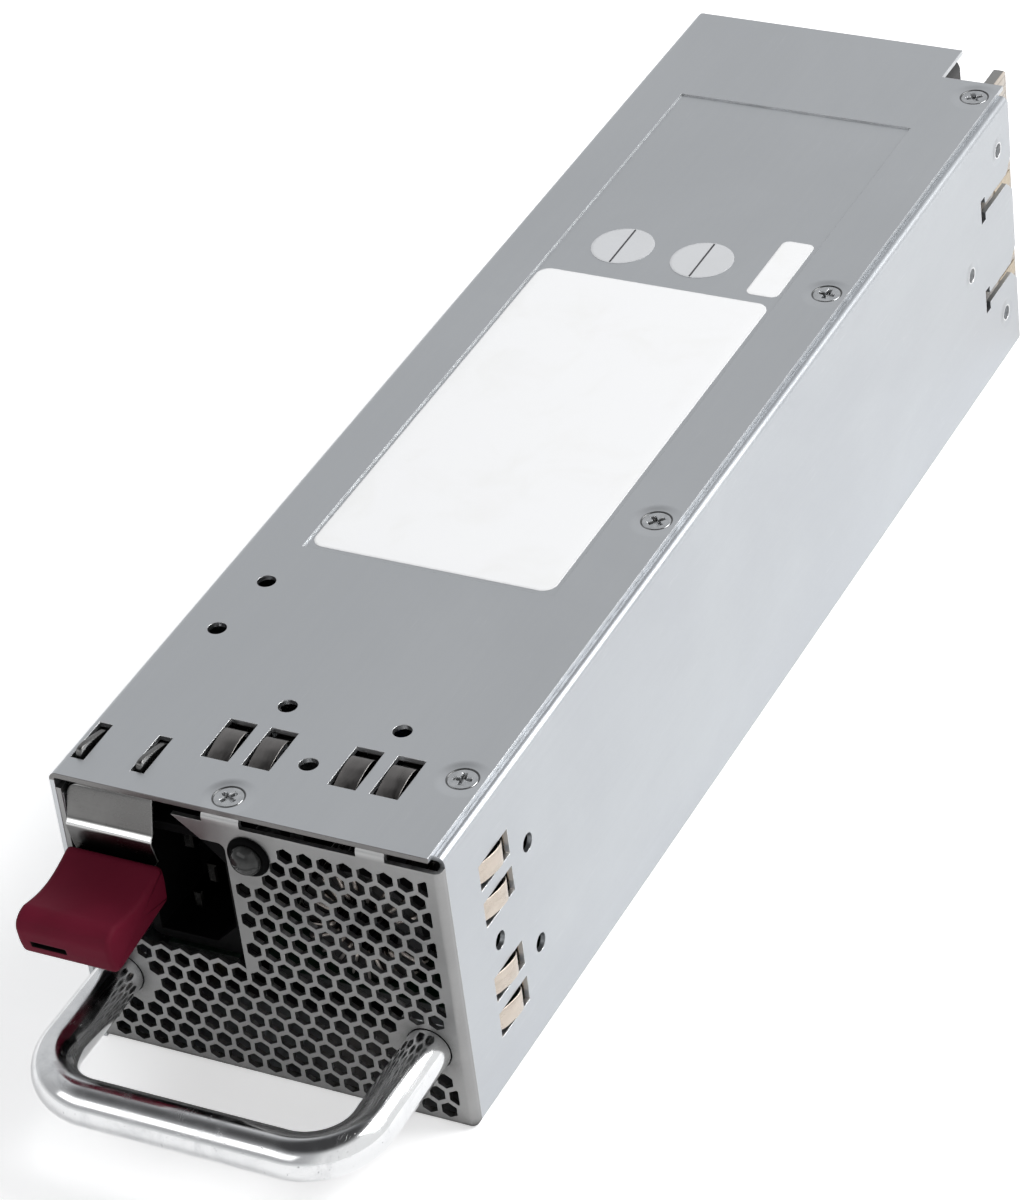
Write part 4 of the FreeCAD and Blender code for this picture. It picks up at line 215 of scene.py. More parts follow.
def dimpled(material, places, inner, outer, depth, painted_rim_tone):
    """Sinks the surface round each place by a soft step between two radii, and paints the narrow rim where
    the screw's head or the hole begins in the given tone, which the callers use for a painted shade in a
    screw's gap and a painted highlight on a hole's edge."""
    tree = material.node_tree
    shader = tree.nodes["Principled BSDF"]
    where, nearest = place(tree, "TexCoord").outputs["Object"], None
    for spot in places:
        away = place(tree, "VectorMath", {"operation": "DISTANCE"})
        give(away.inputs[0], where)
        give(away.inputs[1], spot)
        far = away.outputs["Value"]
        nearest = far if nearest is None else sums(tree, "MINIMUM", nearest, far)
    rim = span(tree, nearest, inner + 0.0006, inner + 0.0004)
    laid_over(material, sums(tree, "MULTIPLY", rim, 0.9), painted_rim_tone)
    smooth = shader.inputs["Normal"].links[0].from_socket
    feed(shader, Normal=bumped(tree, span(tree, nearest, inner, outer), 1.0, depth, Normal=smooth))


def dress(material, *names):
    """Gives carried-over CAD nodes their finish."""
    for name in names:
        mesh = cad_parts[name].data
        mesh.materials.clear()
        mesh.materials.append(material)


case_steel = plated_sheet("zinc_plated_case", (0.465, 0.483, 0.507), (0.52, 0.54, 0.56), (0.84, 0.85, 0.86),
                          0.34, clouds=22.0, width=0.0002, dirt_and_shade_share=0.55, reach=0.0009)
wall_face, wall_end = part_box("chassis_tray")[1][0], 0.1274
bracket_holes = [(wall_face, wall_end - inset, height)
                 for inset, height in ((0.0067, 0.0115), (0.0067, 0.0523), (0.0243, 0.0317))]
# Each bracket hole gets a thin light rim: a painted highlight on its edge.
dimpled(case_steel, bracket_holes, inner=0.0013, outer=0.0036, depth=0.0004, painted_rim_tone=(0.84, 0.845, 0.85))
# The front panel is the case sheet given a much darker base: a painted shade. At full share over a wide
# reach, its holes and the ground round the handle's legs go near-black: dirt and painted shade.
shaded_panel_steel = plated_sheet("zinc_plated_panel_shaded", (0.285, 0.284, 0.282), (0.335, 0.334, 0.332),
                           (0.55, 0.55, 0.55), 0.36, clouds=60.0, width=0.00012, dirt_and_shade_share=1.0, reach=0.005)
tree = shaded_panel_steel.node_tree
# Above tab_foot the panel is painted lighter: a painted highlight where the top fold catches the light.
tab_foot, tab_full = 0.0592, 0.0601
laid_over(shaded_panel_steel, span(tree, coordinates(tree)["Z"], tab_foot, tab_full), (0.42, 0.42, 0.418))
dress(case_steel, "chassis_tray", "rear_wall", "fan_bracket", "handle_pads")
dress(shaded_panel_steel, "front_grille")

# Lid
# The lid is the same sheet with a lighter base than the case and the panel: one sheet in lit and shaded
# copies, painted to how light falls on each. Its front edge face carries a painted shade. The countersinks
# pulled it down round each screw, which shows as a soft shallow dimple.

lid_steel = plated_sheet("zinc_plated_lid", (0.56, 0.575, 0.59), (0.61, 0.625, 0.64), (0.80, 0.805, 0.81),
                         0.34, clouds=16.0, width=0.00016, dirt_and_shade_share=0.4, reach=0.0022)
lid_top, screw_row = 0.0626, 0.03315
screw_places = [(-0.00435, -0.1374)] + [(screw_row, y) for y in (-0.1196, -0.0378, 0.0440, 0.1239)]
# The dark ring round each screw head is a painted shade in the gap.
dimpled(lid_steel, [(x, y, lid_top) for x, y in screw_places], inner=0.0026, outer=0.0054, depth=0.0003,
        painted_rim_tone=(0.05, 0.05, 0.05))
tree, lid_front = lid_steel.node_tree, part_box("lid")[0][1]
where = coordinates(tree)
# The lid's front edge face is painted dark: a painted shade.
shaded_front_edge = sums(tree, "MULTIPLY", span(tree, where["Y"], lid_front + 0.00022, lid_front + 0.0001),
               span(tree, where["Z"], 0.0608, 0.0612, 0.0, 0.85))
laid_over(lid_steel, shaded_front_edge, (0.14, 0.132, 0.126))
dress(lid_steel, "lid")

# Handle
# A steel rod of 8.8 mm bent twice and chrome plated. Its legs pass through the
# front panel and are screwed to square pads behind it. A fine seam runs along it,
# and the plating is rubbed where it was bent and where it is gripped.


def lay(name, grids, material, body="root", sharp=50.0, loop=False):
    """Puts grids of points (rows, columns, 3) into one mesh. The columns close on
    themselves, and with loop the rows do too."""
    points, faces, coords = [], [], []
    start, weld = 0, 1e-7
    for grid in grids:
        rows, columns = grid.shape[:2]
        index = start + np.arange(rows * columns).reshape(rows, columns)
        r = np.arange(rows if loop else rows - 1)[:, None]
        c = np.arange(columns)[None, :]
        below, beside = (r + 1) % rows, (c + 1) % columns
        corners = [index[r, c], index[below, c], index[below, beside], index[r, beside]]
        faces.append(np.stack(corners, axis=-1).reshape(-1, 4))
        u, v = (r + 0 * c) / rows, (c + 0 * r) / columns
        du, dv = 1 / rows, 1 / columns
        coords.append(np.stack([u, v, u + du, v, u + du, v + dv, u, v + dv], axis=-1).reshape(-1, 2))
        points.append(grid.reshape(-1, 3))
        start += rows * columns
    points, faces, coords = np.concatenate(points), np.concatenate(faces), np.concatenate(coords)
    mesh = bpy.data.meshes.new(name)
    mesh.vertices.add(len(points))
    mesh.vertices.foreach_set("co", points.astype(np.float32).ravel())
    mesh.loops.add(faces.size)
    mesh.loops.foreach_set("vertex_index", faces.astype(np.int32).ravel())
    mesh.polygons.add(len(faces))
    mesh.polygons.foreach_set("loop_start", np.arange(0, faces.size, 4, dtype=np.int32))
    mesh.update(calc_edges=True)
    mesh.uv_layers.new(name="surface").data.foreach_set("uv", coords.astype(np.float32).ravel())
    shape = bmesh.new()
    shape.from_mesh(mesh)
    bmesh.ops.remove_doubles(shape, verts=shape.verts, dist=weld)
    bmesh.ops.recalc_face_normals(shape, faces=shape.faces)
    shape.to_mesh(mesh)
    shape.free()
    mesh.shade_smooth()
    mesh.set_sharp_from_angle(angle=math.radians(sharp))
    mesh.materials.append(material)
    piece = bpy.data.objects.new(name, mesh)
    bpy.context.scene.collection.objects.link(piece)
    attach(piece, body)
    return piece


def unit(vectors):
    """Vectors scaled to length one."""
    return vectors / np.linalg.norm(vectors, axis=-1, keepdims=True)


def closed_ends(grid):
    """Adds a middle point at each end of a tube of rings, so that it is shut."""
    first = np.repeat(grid[:1].mean(axis=1, keepdims=True), grid.shape[1], axis=1)
    last = np.repeat(grid[-1:].mean(axis=1, keepdims=True), grid.shape[1], axis=1)
    return np.concatenate([first, grid, last])


def handle_path(leg_x, back, front, bend, height):
    """Leg, quarter arc, bar, quarter arc, leg: straight runs with arcs whose centres
    lie one bend radius inside both runs."""
    turn = np.linspace(0, math.pi / 2, 40)
    left = np.stack([-leg_x + bend - bend * np.cos(turn), front + bend - bend * np.sin(turn)], axis=1)
    bar = np.stack([np.linspace(-leg_x + bend, leg_x - bend, 60)[1:-1], np.full(58, front)], axis=1)
    leg = np.stack([np.full(40, -leg_x), np.linspace(back, front + bend, 40)], axis=1)[:-1]
    right = left[::-1] * (-1, 1)
    path = np.concatenate([leg, left, bar, right, leg[::-1] * (-1, 1)])
    return np.concatenate([path, np.full((len(path), 1), height)], axis=1)


chrome, tree, shader = new_finish("polished_chrome", Metallic=1.0)
rubbed = noise(tree, stretched(tree), 130.0, 6.0, 0.65, 0.8)
pits = span(tree, noise(tree, stretched(tree), 1500.0, 2.0), 0.70, 0.78)
marks = group_node(tree, hair, Scale=1.4, Amount=0.7)["Mask"]
scars = sums(tree, "MAXIMUM", pits, sums(tree, "MULTIPLY", marks, 0.6))
colour = blended(tree, span(tree, rubbed, 0.4, 0.75), (0.80, 0.805, 0.81), (0.68, 0.685, 0.695))
gloss = span(tree, rubbed, 0.42, 0.78, 0.12, 0.30)
ripple = noise(tree, stretched(tree), 60.0, 2.0, 0.4)
relief = sums(tree, "MULTIPLY_ADD", pits, -0.25, sums(tree, "MULTIPLY_ADD", marks, -0.2, ripple))
feed(shader, Base_Color=blended(tree, scars, colour, (0.42, 0.42, 0.43)),
     Roughness=sums(tree, "MULTIPLY_ADD", marks, 0.2, gloss), Normal=bumped(tree, relief, 0.25, 0.00012))

path = handle_path(leg_x=0.03175, back=-0.1406, front=-0.1749, bend=0.0120, height=0.0176)
rod_radius, seam_angle, seam_width = 0.0044, 4.35, 0.05
ahead = unit(np.gradient(path, axis=0))
side = np.stack([-ahead[:, 1], ahead[:, 0], 0 * ahead[:, 0]], axis=1)
angle = np.linspace(0, 2 * math.pi, 64, endpoint=False)
bent = np.interp(np.arange(len(path)), [34, 50, 68, 74], [0, 1, 1, 0])
bent = np.maximum(bent, bent[::-1])
crease = 1 - 0.045 * np.exp(-((angle - seam_angle) / seam_width) ** 2)
radius = rod_radius * crease[None, :] * (1 - 0.012 * bent[:, None] * np.abs(np.cos(angle))[None, :])
rod = (path[:, None, :] + radius[..., None] * (np.cos(angle)[None, :, None] * side[:, None, :]
       + np.sin(angle)[None, :, None] * np.array([0.0, 0.0, 1.0])))
handle = lay("pull_handle", [closed_ends(rod)], chrome)
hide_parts("handle")

# Mains inlet
# A black moulded housing with a shaped mouth, riveted behind the panel's window.
# Its three flat blades are nickel-plated brass.


def moulded(name, dark, light, rough, grain=2400.0, depth=0.00002, dust_and_shade=(0.30, 0.29, 0.27), dust_and_shade_share=0.12,
            width=0.0003, rub=0.4, **sockets):
    """Moulded plastic: a fine spark-eroded grain, paler rubbed edges, and dust and painted shade in its
    corners.
    """
    material, tree, shader = new_finish(name, **sockets)
    fine = noise(tree, stretched(tree), grain, 3.0, 0.6)
    broad = noise(tree, stretched(tree), 90.0, 4.0, 0.55)
    edges = group_node(tree, worn, Width=width, Breakup=600.0)
    corners = group_node(tree, dirt_and_shade, Reach=0.0015)["Mask"]
    colour = blended(tree, span(tree, broad, 0.3, 0.7), dark, light)
    pale = [min(1.0, 1.7 * c + 0.02) for c in light]
    colour = blended(tree, sums(tree, "MULTIPLY", edges["Mask"], rub), colour, pale)
    # Corners take the given colour by the occlusion mask: dust, and painted shade where that colour is dark.
    colour = blended(tree, sums(tree, "MULTIPLY", corners, dust_and_shade_share), colour, dust_and_shade)
    gloss = sums(tree, "MULTIPLY_ADD", fine, 0.10, span(tree, broad, 0.2, 0.8, rough - 0.05, rough + 0.05))
    feed(shader, Base_Color=colour, Roughness=sums(tree, "MULTIPLY_ADD", edges["Mask"], -0.08, gloss),
         Normal=bumped(tree, fine, 0.5, depth, Normal=edges["Normal"]))
    return material


inlet_black = moulded("inlet_black", (0.002, 0.002, 0.0022), (0.0035, 0.0035, 0.0037), 0.45, dust_and_shade_share=0.01,
                      rub=0.1, Specular_IOR_Level=0.05)
dress(inlet_black, "inlet_housing")


def plain_metal(name, dark, light, rough, scale=300.0, width=0.0003, streak=(1, 1, 1), dirt_and_shade_share=0.45,
                **sockets):
    """Turned, drawn or plated metal: drifting tone, fine marks, bright edges, and dirt and painted shade in
    its corners.
    """
    material, tree, shader = new_finish(name, Metallic=1.0, **sockets)
    drift = noise(tree, stretched(tree, streak), scale, 4.0, 0.6, 0.4)
    edges = group_node(tree, worn, Width=width, Breakup=900.0)
    corners = group_node(tree, dirt_and_shade, Reach=0.001)["Mask"]
    colour = blended(tree, span(tree, drift, 0.3, 0.7), dark, light)
    # Corners and recesses go dark by the occlusion mask: dirt and painted shade.
    colour = blended(tree, sums(tree, "MULTIPLY", corners, dirt_and_shade_share), colour, (0.05, 0.045, 0.04))
    pale = [min(1.0, 1.15 * c + 0.05) for c in light]
    feed(shader, Base_Color=blended(tree, edges["Mask"], colour, pale),
         Roughness=span(tree, drift, 0.25, 0.8, rough - 0.05, rough + 0.09),
         Normal=bumped(tree, drift, 0.2, 0.00003, Normal=edges["Normal"]))
    return material


# The blades get a near-black base in place of bright nickel: a painted shade for the unlit mouth of the
# inlet.
shaded_blade_metal = plain_metal("nickel_blade_shaded", (0.005, 0.0048, 0.0045), (0.009, 0.0087, 0.008), 0.24,
                          width=0.00008)
dress(shaded_blade_metal, "inlet_blades")

# Status lamp
# A black bezel pressed into the panel round a smoked lens. The lens looks dark grey
# while the indicator behind it is off.

panel_step = 0.0022
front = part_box("chassis_tray")[0][1] - panel_step


def turned(profile, centre, around, count=72):
    """Turns a profile of (radius, along) points round an axis through centre: each
    point goes round a circle of its own radius at its own place along the axis."""
    axis = np.array(around, float)
    first = unit(np.cross(axis, (0.0, 0.0, 1.0) if abs(axis[2]) < 0.9 else (1.0, 0.0, 0.0)))
    second = np.cross(axis, first)
    angle = np.linspace(0, 2 * math.pi, count, endpoint=False)
    radius, along = np.array(profile, float).T
    ring = np.cos(angle)[:, None] * first + np.sin(angle)[:, None] * second
    return np.array(centre) + radius[:, None, None] * ring[None] + along[:, None, None] * axis


def soft_corners(points, reach, steps=5):
    """Rounds each inner corner of an open outline with a quadratic curve that starts
    and ends at most reach from the corner."""
    points = [np.array(p, float) for p in points]
    out = [points[0][None]]
    for before, corner, after in zip(points, points[1:], points[2:]):
        back, ahead = before - corner, after - corner
        a = corner + back * min(reach / np.linalg.norm(back), 0.49)
        b = corner + ahead * min(reach / np.linalg.norm(ahead), 0.49)
        t = np.linspace(0, 1, steps)[:, None]
        out.append((1 - t) ** 2 * a + 2 * t * (1 - t) * corner + t ** 2 * b)
    out.append(points[-1][None])
    return np.concatenate(out)


bezel_black = moulded("bezel_black", (0.0012, 0.0012, 0.0013), (0.0022, 0.0022, 0.0024), 0.42, grain=900.0,
                      dust_and_shade_share=0.01, rub=0.05, Specular_IOR_Level=0.03)
low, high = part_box("lamp_bezel")
lamp_centre = ((low[0] + high[0]) / 2, front, (low[2] + high[2]) / 2)
bezel_way = [(0.0027, 0.0038), (0.0027, -0.0007), (0.0031, -0.00098), (0.0037, -0.00098), (0.0042, -0.0004),
             (0.0042, 0.0), (0.0035, 0.0), (0.0035, 0.0038), (0.0027, 0.0038)]
bezel = turned(soft_corners(bezel_way, 0.00025), lamp_centre, (0, 1, 0))
piece = lay("lamp_bezel_ring", [bezel], bezel_black, loop=True)
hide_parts("lamp_bezel")
smoked, tree, shader = new_finish("smoked_lens", Coat_Weight=0.15, Coat_Roughness=0.03,
                                  Specular_IOR_Level=0.25)
smoke = noise(tree, stretched(tree), 500.0)
feed(shader, Roughness=span(tree, smoke, 0.2, 0.8, 0.05, 0.16),
     Base_Color=blended(tree, span(tree, smoke, 0.3, 0.7), (0.022, 0.0225, 0.022), (0.036, 0.0365, 0.036)))
arc = np.linspace(0, math.pi / 2, 20)
dome_radius, dome_rise, dome_foot = 0.00305, 0.0023, -0.00103
dome = np.stack([dome_radius * np.sin(arc), dome_foot - dome_rise * np.cos(arc)], axis=1)
stem = np.array([(0.00262, -0.00101), (0.00262, 0.0072), (0.0, 0.0072)])
lens = turned(np.concatenate([dome, stem]), lamp_centre, (0, 1, 0))
piece = lay("lamp_dome", [lens], smoked)
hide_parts("lamp_lens")

# Side tab
# A small tab of the case's bright sheet stands on the panel's left fold, in the gap
# that the latch leaves there.


def slab(outline, left, right, corner, steps=5):
    """A plate between two x values whose rim is rounded: the closed (y, z) outline is
    drawn in along its own normal by the corner radius times one minus a sine."""
    outline = np.array(outline, float)
    after = np.roll(outline, -1, axis=0)
    ahead = unit(after - np.roll(outline, 1, axis=0))
    area = 0.5 * np.sum(outline[:, 0] * after[:, 1] - after[:, 0] * outline[:, 1])
    inward = np.stack([-ahead[:, 1], ahead[:, 0]], axis=1) * math.copysign(1.0, area)
    turn = np.linspace(0, math.pi / 2, steps)
    x = np.concatenate([left + corner * (1 - np.cos(turn)), right - corner * (1 - np.cos(turn[::-1]))])
    drawn = np.concatenate([corner * (1 - np.sin(turn)), corner * (1 - np.sin(turn[::-1]))])
    rings = outline[None] + drawn[:, None, None] * inward[None]
    rings = np.concatenate([np.broadcast_to(x[:, None, None], rings.shape[:2] + (1,)), rings], axis=2)
    return closed_ends(rings)


def from_front(points):
    """Side-view points whose y is given from the panel's face."""
    return [(front + y, z) for y, z in points]


tab_way = from_front([(0.0002, 0.0530), (0.0002, 0.0582), (0.0010, 0.0582), (0.0010, 0.0530)])
tab = slab(tab_way, left=-0.0384, right=-0.0370, corner=0.0001)
lay("panel_side_tab", [tab], case_steel)

# Release latch
# One strip of satin spring steel hangs under the lid. Two teeth punched up from it
# stand through slots in the lid, and below the knee the grip is moulded on its end.


def strip_along(path, thick, left, right, corner=0.0002):
    """A strip whose outer face follows a path of (y, z) points: a rounded oblong
    section of the strip's thickness and width, carried square to the path. Its left
    and right sides may change from point to point."""
    path = np.array(path, float)
    left, right = (np.broadcast_to(side, len(path))[:, None] for side in (left, right))
    ahead = unit(np.gradient(path, axis=0))
    inward = np.stack([-ahead[:, 1], ahead[:, 0]], axis=1)
    quarter = np.linspace(0, math.pi / 2, 4)
    c = min(corner, thick * 0.49)
    arcs = [(right - c + c * np.sin(quarter), c - c * np.cos(quarter)),
            (right - c + c * np.cos(quarter), thick - c + c * np.sin(quarter)),
            (left + c - c * np.sin(quarter), thick - c + c * np.cos(quarter)),
            (left + c - c * np.cos(quarter), c - c * np.sin(quarter))]
    across = np.concatenate([a[0] for a in arcs], axis=1)
    deep = np.concatenate([a[1] for a in arcs])
    spot = path[:, None, :] + deep[None, :, None] * inward[:, None, :]
    return closed_ends(np.concatenate([across[:, :, None], spot], axis=2))


def divided(points, step):
    """An open outline with more points along its straight runs, at most step apart."""
    parts = [np.linspace(a, b, max(1, math.ceil(np.linalg.norm(b - a) / step)), endpoint=False)
             for a, b in zip(points, points[1:])]
    return np.concatenate(parts + [points[-1:]])


spring_steel, tree, shader = new_finish("satin_spring_steel", Metallic=1.0)
brushed = noise(tree, stretched(tree, (60, 2200, 2200)), 1.0, 3.0, 0.6)
patch = noise(tree, stretched(tree), 120.0, 4.0, 0.6, 0.5)
edges = group_node(tree, worn, Width=0.0002, Breakup=700.0)
corners = group_node(tree, dirt_and_shade, Reach=0.0015)["Mask"]
height = coordinates(tree)["Z"]
knee_low, knee_high = 0.0521, 0.0534
# The knee's band is painted near-white and made smoother: a painted highlight.
knee_highlight = sums(tree, "MULTIPLY", span(tree, height, knee_low, knee_low + 0.0004),
            span(tree, height, knee_high, knee_high - 0.0004))
# Just below the knee the strip is painted dark: a painted shade.
under_knee_shade = sums(tree, "MULTIPLY", span(tree, height, 0.0522, 0.0480), span(tree, height, 0.0448, 0.0460))
bright = sums(tree, "MAXIMUM", sums(tree, "MULTIPLY", edges["Mask"], 0.8), knee_highlight)
colour = blended(tree, span(tree, sums(tree, "MULTIPLY_ADD", brushed, 0.25, patch), 0.4, 0.9),
                 (0.150, 0.148, 0.145), (0.19, 0.188, 0.184))
colour = blended(tree, under_knee_shade, colour, (0.05, 0.048, 0.046))
# Corners go near-black by the occlusion mask: dirt and painted shade.
colour = blended(tree, sums(tree, "MULTIPLY", corners, 0.7), colour, (0.03, 0.028, 0.026))
gloss = span(tree, sums(tree, "MULTIPLY_ADD", brushed, 0.4, patch), 0.4, 1.1, 0.24, 0.38)
feed(shader, Base_Color=blended(tree, bright, colour, (0.86, 0.86, 0.85)),
     Roughness=sums(tree, "MULTIPLY_ADD", knee_highlight, -0.1, gloss),
     Normal=bumped(tree, brushed, 0.25, 0.00003, Normal=edges["Normal"]))

leaf_way = from_front([(0.04195, 0.0613), (0.0020, 0.0613), (0.0014, 0.0600), (-0.0003, 0.0534),
                       (-0.0013, 0.0524), (-0.0012, 0.0514), (-0.0002, 0.0474), (-0.0003, 0.0461),
                       (-0.0034, 0.0446), (-0.0110, 0.0426)])
leaf_way = divided(soft_corners(leaf_way, 0.0006, 8), 0.00015)
leaf_height = leaf_way[:, 1]
neck = np.sqrt(1 - ((leaf_height - 0.0574) / 0.0026).clip(0, 1) ** 2)
inside_grip = ((0.0472 - leaf_height) / 0.0008).clip(0, 1)
left, right = -0.0346 - 0.0022 * neck + 0.0005 * inside_grip, -0.0190 - 0.0006 * inside_grip
tooth_way = soft_corners(from_front([(0.0057, 0.0606), (0.0057, 0.0633), (0.0064, 0.0641), (0.0085, 0.0640),
                                     (0.0149, 0.0622), (0.0153, 0.0606)]), 0.0008, 6)
leaf_thick, half_tooth = 0.0008, 0.0006
leaf = [strip_along(leaf_way, leaf_thick, left, right)]
leaf += [slab(tooth_way, middle - half_tooth, middle + half_tooth, 0.0003) for middle in (-0.0362, -0.0237)]
piece = lay("latch_spring", leaf, spring_steel, body="latch")
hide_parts("latch_leaf")
dress(spring_steel, "latch_flexure")


def rounded_loop(points, reach, steps):
    """A closed outline whose corners are rounded by quadratic curves."""
    points = [np.array(p, float) for p in points]
    ring = points[-1:] + points + points[:1]
    return soft_corners(ring, reach, steps)[1:-1]


# The grip's corners take a near-black at a high share: dirt and painted shade.
grip_plastic = moulded("maroon_grip", (0.104, 0.0052, 0.0175), (0.120, 0.0066, 0.0210), 0.55, grain=3200.0,
                       depth=0.000018, width=0.0007, dust_and_shade=(0.012, 0.003, 0.004), dust_and_shade_share=0.85,
                       rub=0.15, Specular_IOR_Level=0.1)
tree = grip_plastic.node_tree
where = coordinates(tree)
slot_x, slot_z, half_width, half_height, slot_depth = -0.0306, 0.0409, 0.0036, 0.0006, 0.0030
beside = sums(tree, "ABSOLUTE", sums(tree, "SUBTRACT", where["X"], slot_x))
above = sums(tree, "ABSOLUTE", sums(tree, "SUBTRACT", where["Z"], slot_z))
# The slot is sunk into the mesh below, and its inside is also painted near-black: a painted shade in the
# recess.
slot_shade = sums(tree, "MULTIPLY", span(tree, beside, half_width + 0.0002, half_width),
               span(tree, above, half_height + 0.0002, half_height + 0.00005))
slot_shade = sums(tree, "MULTIPLY", slot_shade, span(tree, where["Y"], front - 0.0175, front - 0.0180))
laid_over(grip_plastic, slot_shade, (0.002, 0.0015, 0.0015))
saddle = []
for s in np.linspace(0, 1, 13):
    hollow = 0.0012 * (1 - s) ** 2 - 0.0011 * math.sin(math.pi * s) + 0.0004 * s * s
    saddle.append((-0.0024 - s * 0.0155, 0.0465 + hollow))
grip_way = saddle + [(-0.0196, 0.0466), (-0.0211, 0.0456), (-0.0217, 0.0441), (-0.0213, 0.0408),
                     (-0.0206, 0.0384), (-0.0197, 0.0375), (-0.0180, 0.0375), (-0.0100, 0.0385),
                     (-0.0016, 0.0396), (-0.0010, 0.0402), (-0.0008, 0.0445), (-0.0010, 0.0468),
                     (-0.0016, 0.0476)]
grip_outline = rounded_loop(from_front(grip_way), 0.0006, 4)
grip_outline = divided(np.concatenate([grip_outline, grip_outline[:1]]), 0.0002)[:-1]
corner_steps = 7
ends = slab(grip_outline, left=-0.03705, right=-0.0174, corner=0.0010, steps=corner_steps)
left_end, right_end = ends[:corner_steps + 1], ends[corner_steps + 1:]
between = np.linspace(left_end[-1, 0, 0], right_end[0, 0, 0], 90)[1:-1]
middle = np.repeat(left_end[-1:], len(between), axis=0)
middle[..., 0] = between[:, None]
solid_grip = np.concatenate([left_end, middle, right_end])
x, y, z = np.moveaxis(solid_grip, -1, 0)
sunk = ((half_width - np.abs(x - slot_x)) / 0.0003).clip(0, 1)
sunk *= ((half_height - np.abs(z - slot_z)) / 0.0002).clip(0, 1) * (y < front - 0.0185)
solid_grip[..., 1] += slot_depth * sunk
piece = lay("release_grip", [solid_grip], grip_plastic, body="latch")
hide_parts("latch_grip")

# Spring contacts
# Two stamped strips of nickel-plated copper alloy sit inside the lid and the right
# wall. Four fingers of each stand out through windows and touch the server's bay.

contact_metal = plain_metal("contact_alloy", (0.50, 0.44, 0.38), (0.60, 0.53, 0.46), 0.26, scale=500.0,
                            streak=(1, 0.25, 1), width=0.0001)
# The lid's fingers take a darker copy of the same alloy: a painted shade.
shaded_contact_metal = plain_metal("shaded_contact_alloy", (0.165, 0.157, 0.152), (0.225, 0.214, 0.207), 0.30,
                                 scale=500.0, streak=(1, 0.25, 1), width=0.0001)


def contact_strip(middle, level):
    """Two rails and four fingers, drawn for the lid. Seen from the side a finger
    leaves the rail, climbs over a crest two thirds of the way back, and dives under
    the sheet in two bends."""
    along, length, thick, rise, half, half_rail = -0.1286, 0.0114, 0.00025, 0.0017, 0.0022, 0.0207
    shares = ((-0.17, 0.0), (0.03, 0.0), (0.20, 0.52), (0.46, 0.92), (0.64, 1.0), (0.75, 0.86), (0.84, 0.2),
              (0.93, -0.42), (1.12, -0.46))
    way = [(along + a * length, level - thick / 2 + b * rise) for a, b in shares]
    way = soft_corners(way, 0.0008, 6)[::-1]
    grids = [strip_along(way, thick, middle + offset - half, middle + offset + half, 0.0001)
             for offset in (-0.0171, -0.0087, 0.0087, 0.0171)]
    for start in (along - 0.0018, along + 0.0115):
        rail = [(start + 0.0017, level), (start + 0.0009, level), (start, level)]
        grids.append(strip_along(rail, 0.00024, middle - half_rail, middle + half_rail, 0.0001))
    return grids


piece = lay("top_contact_fingers", contact_strip(0.0049, 0.0616), shaded_contact_metal)
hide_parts("top_contact_strip")
wall_strip = [np.stack([p[..., 2], p[..., 1], -p[..., 0]], axis=-1) for p in contact_strip(-0.0312, 0.03825)]
piece = lay("side_contact_fingers", wall_strip, contact_metal)
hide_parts("side_contact_strip")

# Case screws
# M3 countersunk steel screws, bright zinc plated, with a cross recess pressed into
# the head. Five hold the lid and three the left wall.


def cross_head(centre, facing, turn, radius=0.00293, rim=0.0008, crown=0.00004, recess=0.0008):
    """A screw head as a height over a disc: a low crown, less the cross recess, whose
    depth falls off smoothly from two arms that narrow towards their tips. The rim
    then goes down by its own depth to the seat."""
    r = np.linspace(0, 1, 26)[:, None] * radius
    a = np.linspace(0, 2 * math.pi, 96, endpoint=False)[None, :]
    x, y = np.abs(r * np.cos(a + turn)), np.abs(r * np.sin(a + turn))
    height = crown * (1 - (r / radius) ** 2) - 0.3 * rim * np.clip((r / radius - 0.90) / 0.10, 0, 1) ** 2
    arm_width, arm_length, taper, well = 0.17 * radius, 0.56 * radius, 0.35 / radius, 0.24 * radius
    inside = np.maximum(np.minimum(arm_width * (1 - taper * x) - y, arm_length - x),
                        np.minimum(arm_width * (1 - taper * y) - x, arm_length - y))
    inside = np.maximum(inside, well - np.hypot(x, y))
    height = height - recess * np.clip(inside / (0.06 * radius) + 0.5, 0, 1)
    top = np.stack([r * np.cos(a), r * np.sin(a), height], axis=-1)
    seat = top[-1:] * (0.97, 0.97, 0) + (0, 0, -rim)
    under = seat * (0, 0, 1)
    disc = np.concatenate([top, seat, under])
    axis = np.array(facing, float)
    first = np.cross(axis, (0.0, 1.0, 0.0) if abs(axis[1]) < 0.9 else (1.0, 0.0, 0.0))
    second = np.cross(axis, first)
    return np.array(centre) + disc[..., :1] * first + disc[..., 1:2] * second + disc[..., 2:] * axis


def shank(radius, length, foot, along):
    """A plain round shank that leaves its foot along an axis."""
    return turned([(0, 0), (radius, 0), (radius, length), (0, length)], foot, along, 24)


